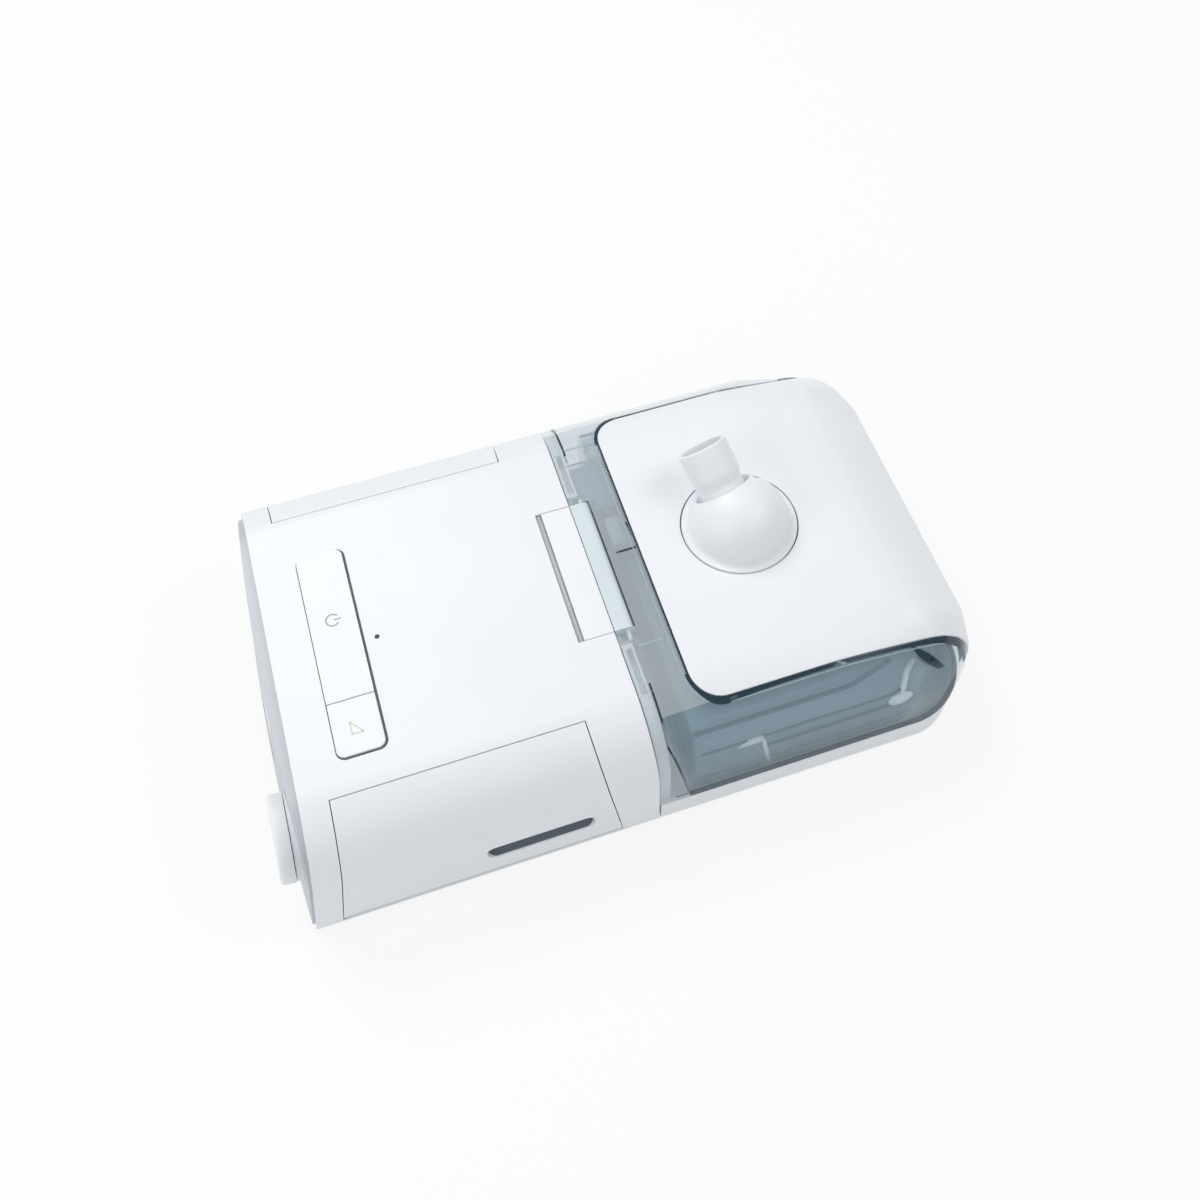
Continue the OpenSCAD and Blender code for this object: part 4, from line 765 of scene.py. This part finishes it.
def make_lid_lines():
    """Cross ribs and the latch keeper's bars that show in the lid, and painted shade as edge lines, rim lines and
    corner shades.
    """
    tree = shell_tree(NODES["lid_shell"].data)
    rise, sink = 0.03, 0.4
    edge_low, edge_high, rim_z = 27, 76, 25.2
    runs = {
        "cross_far": (row_of((7.4, 62.9, LID_TOP), (1.6, 0, 0)), 0.9, LID_LINE),
        "cross_near": (row_of((8.2, -42.3, LID_TOP), (1.4, 0, 0)), 0.9, LID_LINE),
        "keeper_bar": (row_of((13.6, 3.4, LID_TOP), (1.1, 0, 0)), 1.0, DARK_TINT_AND_SHADE),
        "keeper_side": (row_of((22.6, 17, LID_TOP), (0.15, -1.6, 0)), 1.6, DARK_TINT_AND_SHADE),
    }
    for side, tag in SIDES:
        # Edge lines, rim lines and corner shades are painted shade of the lid's edges and far-end corners.
        drop = [(clear_edge_x(z), side * LID_OUTSIDE_Y, z) for z in range(edge_high, edge_low, -3)]
        bend = [(clear_edge_x(74), side * y, LID_TOP + 4) for y in range(60, 84, 3)]
        runs["edge_line_" + tag] = (bend + drop, 0.9, DARK_TINT_AND_SHADE)
        rim = row_of((clear_edge_x(26) - 6, side * LID_OUTSIDE_Y, rim_z), (4.5, 0, 0), 27)
        runs["rim_line_" + tag] = (rim, 0.8, DARK_TINT_AND_SHADE)
        for row in range(4):
            runs[f"corner_shade_{row}_{tag}"] = (*corner_shade(side, row), DARK_TINT_AND_SHADE)
    for name, (points, width, look) in runs.items():
        form = strip_form(resting(tree, points), width, rise, sink)
        link_piece("lid_" + name, form, "lid", look)


def make_lid_keeper():
    """Small blocks of the latch's keeper under the lid's top."""
    low, high = LID_TOP - 5.4, LID_TOP - 2.5
    triangle = [(14.4, 28.2), (20.6, 28.4), (18.0, 24.0)]
    squares = [rounded_outline((11.2, 13.0), (32.4, 34.2), 0.4, 3),
               rounded_outline((20.9, 22.7), (28.9, 30.5), 0.4, 3),
               rounded_outline((13.4, 22.4), (1.0, 2.6), 0.4, 3)]
    form = slab_form([triangle] + squares, low, high, 0.2)
    link_piece("lid_keeper", form, "lid", DARK_TINT_AND_SHADE)
    block = rounded_outline((14.0, 20.6), (10.0, 23.4), 0.8, 4)
    form = slab_form([block], low, high, 0.3)
    link_piece("lid_keeper_block", form, "lid", LID_LINE)


# Tank details --------------------------------------------------------------------------------

TANK_OUTSIDE_Y = 120
HANDLE_X, HANDLE_Z = 114.5, 40


def make_tank_lines():
    """Flange, ribs, post and handle arm on the tank's long sides."""
    tree = shell_tree(NODES["water_tank"].data)
    far_x, _, top = box_mm("water_tank")[1]

    def on_side(points, side):
        return [touch(tree, (px, side * TANK_OUTSIDE_Y, pz), (px, 0, pz)) for px, pz in points]

    def level(z, x0, x1, steps=24):
        return [(x0 + (x1 - x0) * k / steps, z) for k in range(steps + 1)]

    lines = {
        "flange": (level(top - 1.2, 19.5, far_x - 34), 2.0, 0.9, TANK_EDGE),
        "rib": (level(35, 52, 112), 1.7, 0.8, TANK_EDGE),
        "low_rib": (level(47, 22, 118), 1.2, 0.6, TANK_EDGE),
        "stem": (row_of((50, 43), (6 / 8, -34 / 8)), 2.0, 1.2, TANK_LIGHT),
        "arm": (((HANDLE_X, HANDLE_Z), (115, 48), (117, 54), (121, 57)), 2.6, 1.4, TANK_LIGHT),
    }
    sink = 0.4
    for side, tag in SIDES:
        for name, (points, width, rise, look) in lines.items():
            form = strip_form(on_side(points, side), width, rise, sink)
            link_piece(f"tank_{name}_{tag}", form, "humidifier", look)


def make_tank_pivot(side, tag, wall):
    """Round boss with a flange on which the handle turns."""
    boss, boss_r, flange, flange_r, sunk = 1.6, 3.2, 0.9, 5.6, -0.4
    profile = [(0, boss, 0), (boss_r, boss, 0.5), (boss_r, flange, 0.2), (flange_r, flange, 0.4),
               (flange_r, sunk, 0), (0, sunk, 0)]
    place = Vector((HANDLE_X, side * wall, HANDLE_Z)) * MM
    form = lathe_form(rounded_path(profile), standing(place, (0, side, 0)), 48)
    link_piece("tank_pivot_" + tag, form, "humidifier", TANK_LIGHT)


def make_tank_wedge(side, tag, wall):
    """Wedge on the tank's wall at the head of the post."""
    outline = [(38, 43.5), (49.5, 43.5), (49.5, 48), (43, 48)]
    sink, stand, edge = 0.3, 1.4, 0.4
    depths = (side * (wall - sink), side * (wall + stand))
    form = bmesh.new()
    rows = [[form.verts.new((px * MM, py * MM, pz * MM)) for px, pz in outline] for py in depths]
    form.faces.new(rows[0])
    form.faces.new(rows[1][::-1])
    bridge(form, *rows)
    bmesh.ops.recalc_face_normals(form, faces=form.faces)
    bmesh.ops.bevel(form, geom=form.edges[:], offset=edge * MM, segments=EDGE_STEPS, affect="EDGES")
    link_piece("tank_wedge_" + tag, form, "humidifier", TANK_LIGHT)


def make_tank_details():
    """Everything that shows on the tank's sides through the lid."""
    wall = box_mm("water_tank")[1].y
    make_tank_lines()
    for side, tag in SIDES:
        make_tank_pivot(side, tag, wall)
        make_tank_wedge(side, tag, wall)


# Stage, in metres ----------------------------------------------------------------------------

FLOOR_HALF = 6
FLOOR_GLOW = 0.8
AMBIENT = 0.45
# Each lamp's place, width and power in watts.
LAMPS = {
    "key": ((-0.35, 0.8, 1.3), 0.8, 9.2),
    "fill": ((0.9, -0.3, 1.2), 0.9, 5),
    "side": ((-0.95, -0.45, 0.6), 0.9, 3),
}


def calculated(tree, operation, *values):
    """Result of a Math node whose inputs are sockets or numbers."""
    node = tree.nodes.new("ShaderNodeMath")
    node.operation = operation
    for socket, value in zip(node.inputs, values):
        if isinstance(value, bpy.types.NodeSocket):
            tree.links.new(value, socket)
        else:
            socket.default_value = value
    return node.outputs[0]


def blended(tree, share, first, second, out):
    """Two shaders mixed by a share into the output's surface."""
    blend = add(tree, "ShaderNodeMixShader")
    for socket, value in zip(blend.inputs, (share, first.outputs[0], second.outputs[0])):
        tree.links.new(value, socket)
    tree.links.new(blend.outputs[0], add(tree, out).inputs["Surface"])


def make_floor():
    """White floor that takes shadows and shows bright to the camera, in reflections and through plastic."""
    form = bmesh.new()
    bmesh.ops.create_grid(form, x_segments=1, y_segments=1, size=FLOOR_HALF)
    mesh = finished(form, "floor")
    floor = bpy.data.objects.new("floor", mesh)
    bpy.context.scene.collection.objects.link(floor)
    material = bpy.data.materials.new("floor_white")
    material.use_nodes = True
    tree = material.node_tree
    tree.nodes.clear()
    matte = add(tree, "ShaderNodeBsdfDiffuse", Color=(0.92, 0.93, 0.94, 1))
    glow = add(tree, "ShaderNodeEmission", Strength=1.0)
    rays = add(tree, "ShaderNodeLightPath").outputs
    seen = calculated(tree, "MAXIMUM", rays["Is Camera Ray"], rays["Is Glossy Ray"])
    seen = calculated(tree, "MAXIMUM", seen, rays["Is Transmission Ray"])
    blended(tree, calculated(tree, "MULTIPLY", seen, FLOOR_GLOW), matte, glow, "ShaderNodeOutputMaterial")
    mesh.materials.append(material)


def make_world():
    """Soft cool light from all round, and a white backdrop for the camera."""
    world = bpy.data.worlds.new("studio")
    bpy.context.scene.world = world
    world.use_nodes = True
    tree = world.node_tree
    tree.nodes.clear()
    ambient = add(tree, "ShaderNodeBackground", Color=(0.95, 0.97, 1.0, 1), Strength=AMBIENT)
    backdrop = add(tree, "ShaderNodeBackground", Color=(1, 1, 1, 1), Strength=1.0)
    rays = add(tree, "ShaderNodeLightPath").outputs
    blended(tree, rays["Is Camera Ray"], ambient, backdrop, "ShaderNodeOutputWorld")


def softbox(name, place, size, power):
    """Round area lamp that faces the part."""
    data = bpy.data.lights.new(name, "AREA")
    data.shape = "DISK"
    data.size = size
    data.energy = power
    lamp = bpy.data.objects.new(name, data)
    bpy.context.scene.collection.objects.link(lamp)
    lamp.location = place
    lamp.rotation_euler = (-Vector(place)).to_track_quat("-Z", "Y").to_euler()


make_camera()
make_world()
make_floor()
for lamp_name, (lamp_place, lamp_size, lamp_power) in LAMPS.items():
    softbox(lamp_name, lamp_place, lamp_size, lamp_power)
dress_nodes()
for node_name, edge_width in EDGE_WIDTHS.items():
    softened(node_name, edge_width)
make_slot_door()
make_bezel()
make_dial()
make_signs()
make_key_gap_shade()
make_groove_shade()
make_elbow()
make_lid()
make_plate_edge()
make_plate_shadow()
make_lid_lines()
make_lid_keeper()
make_tank_details()
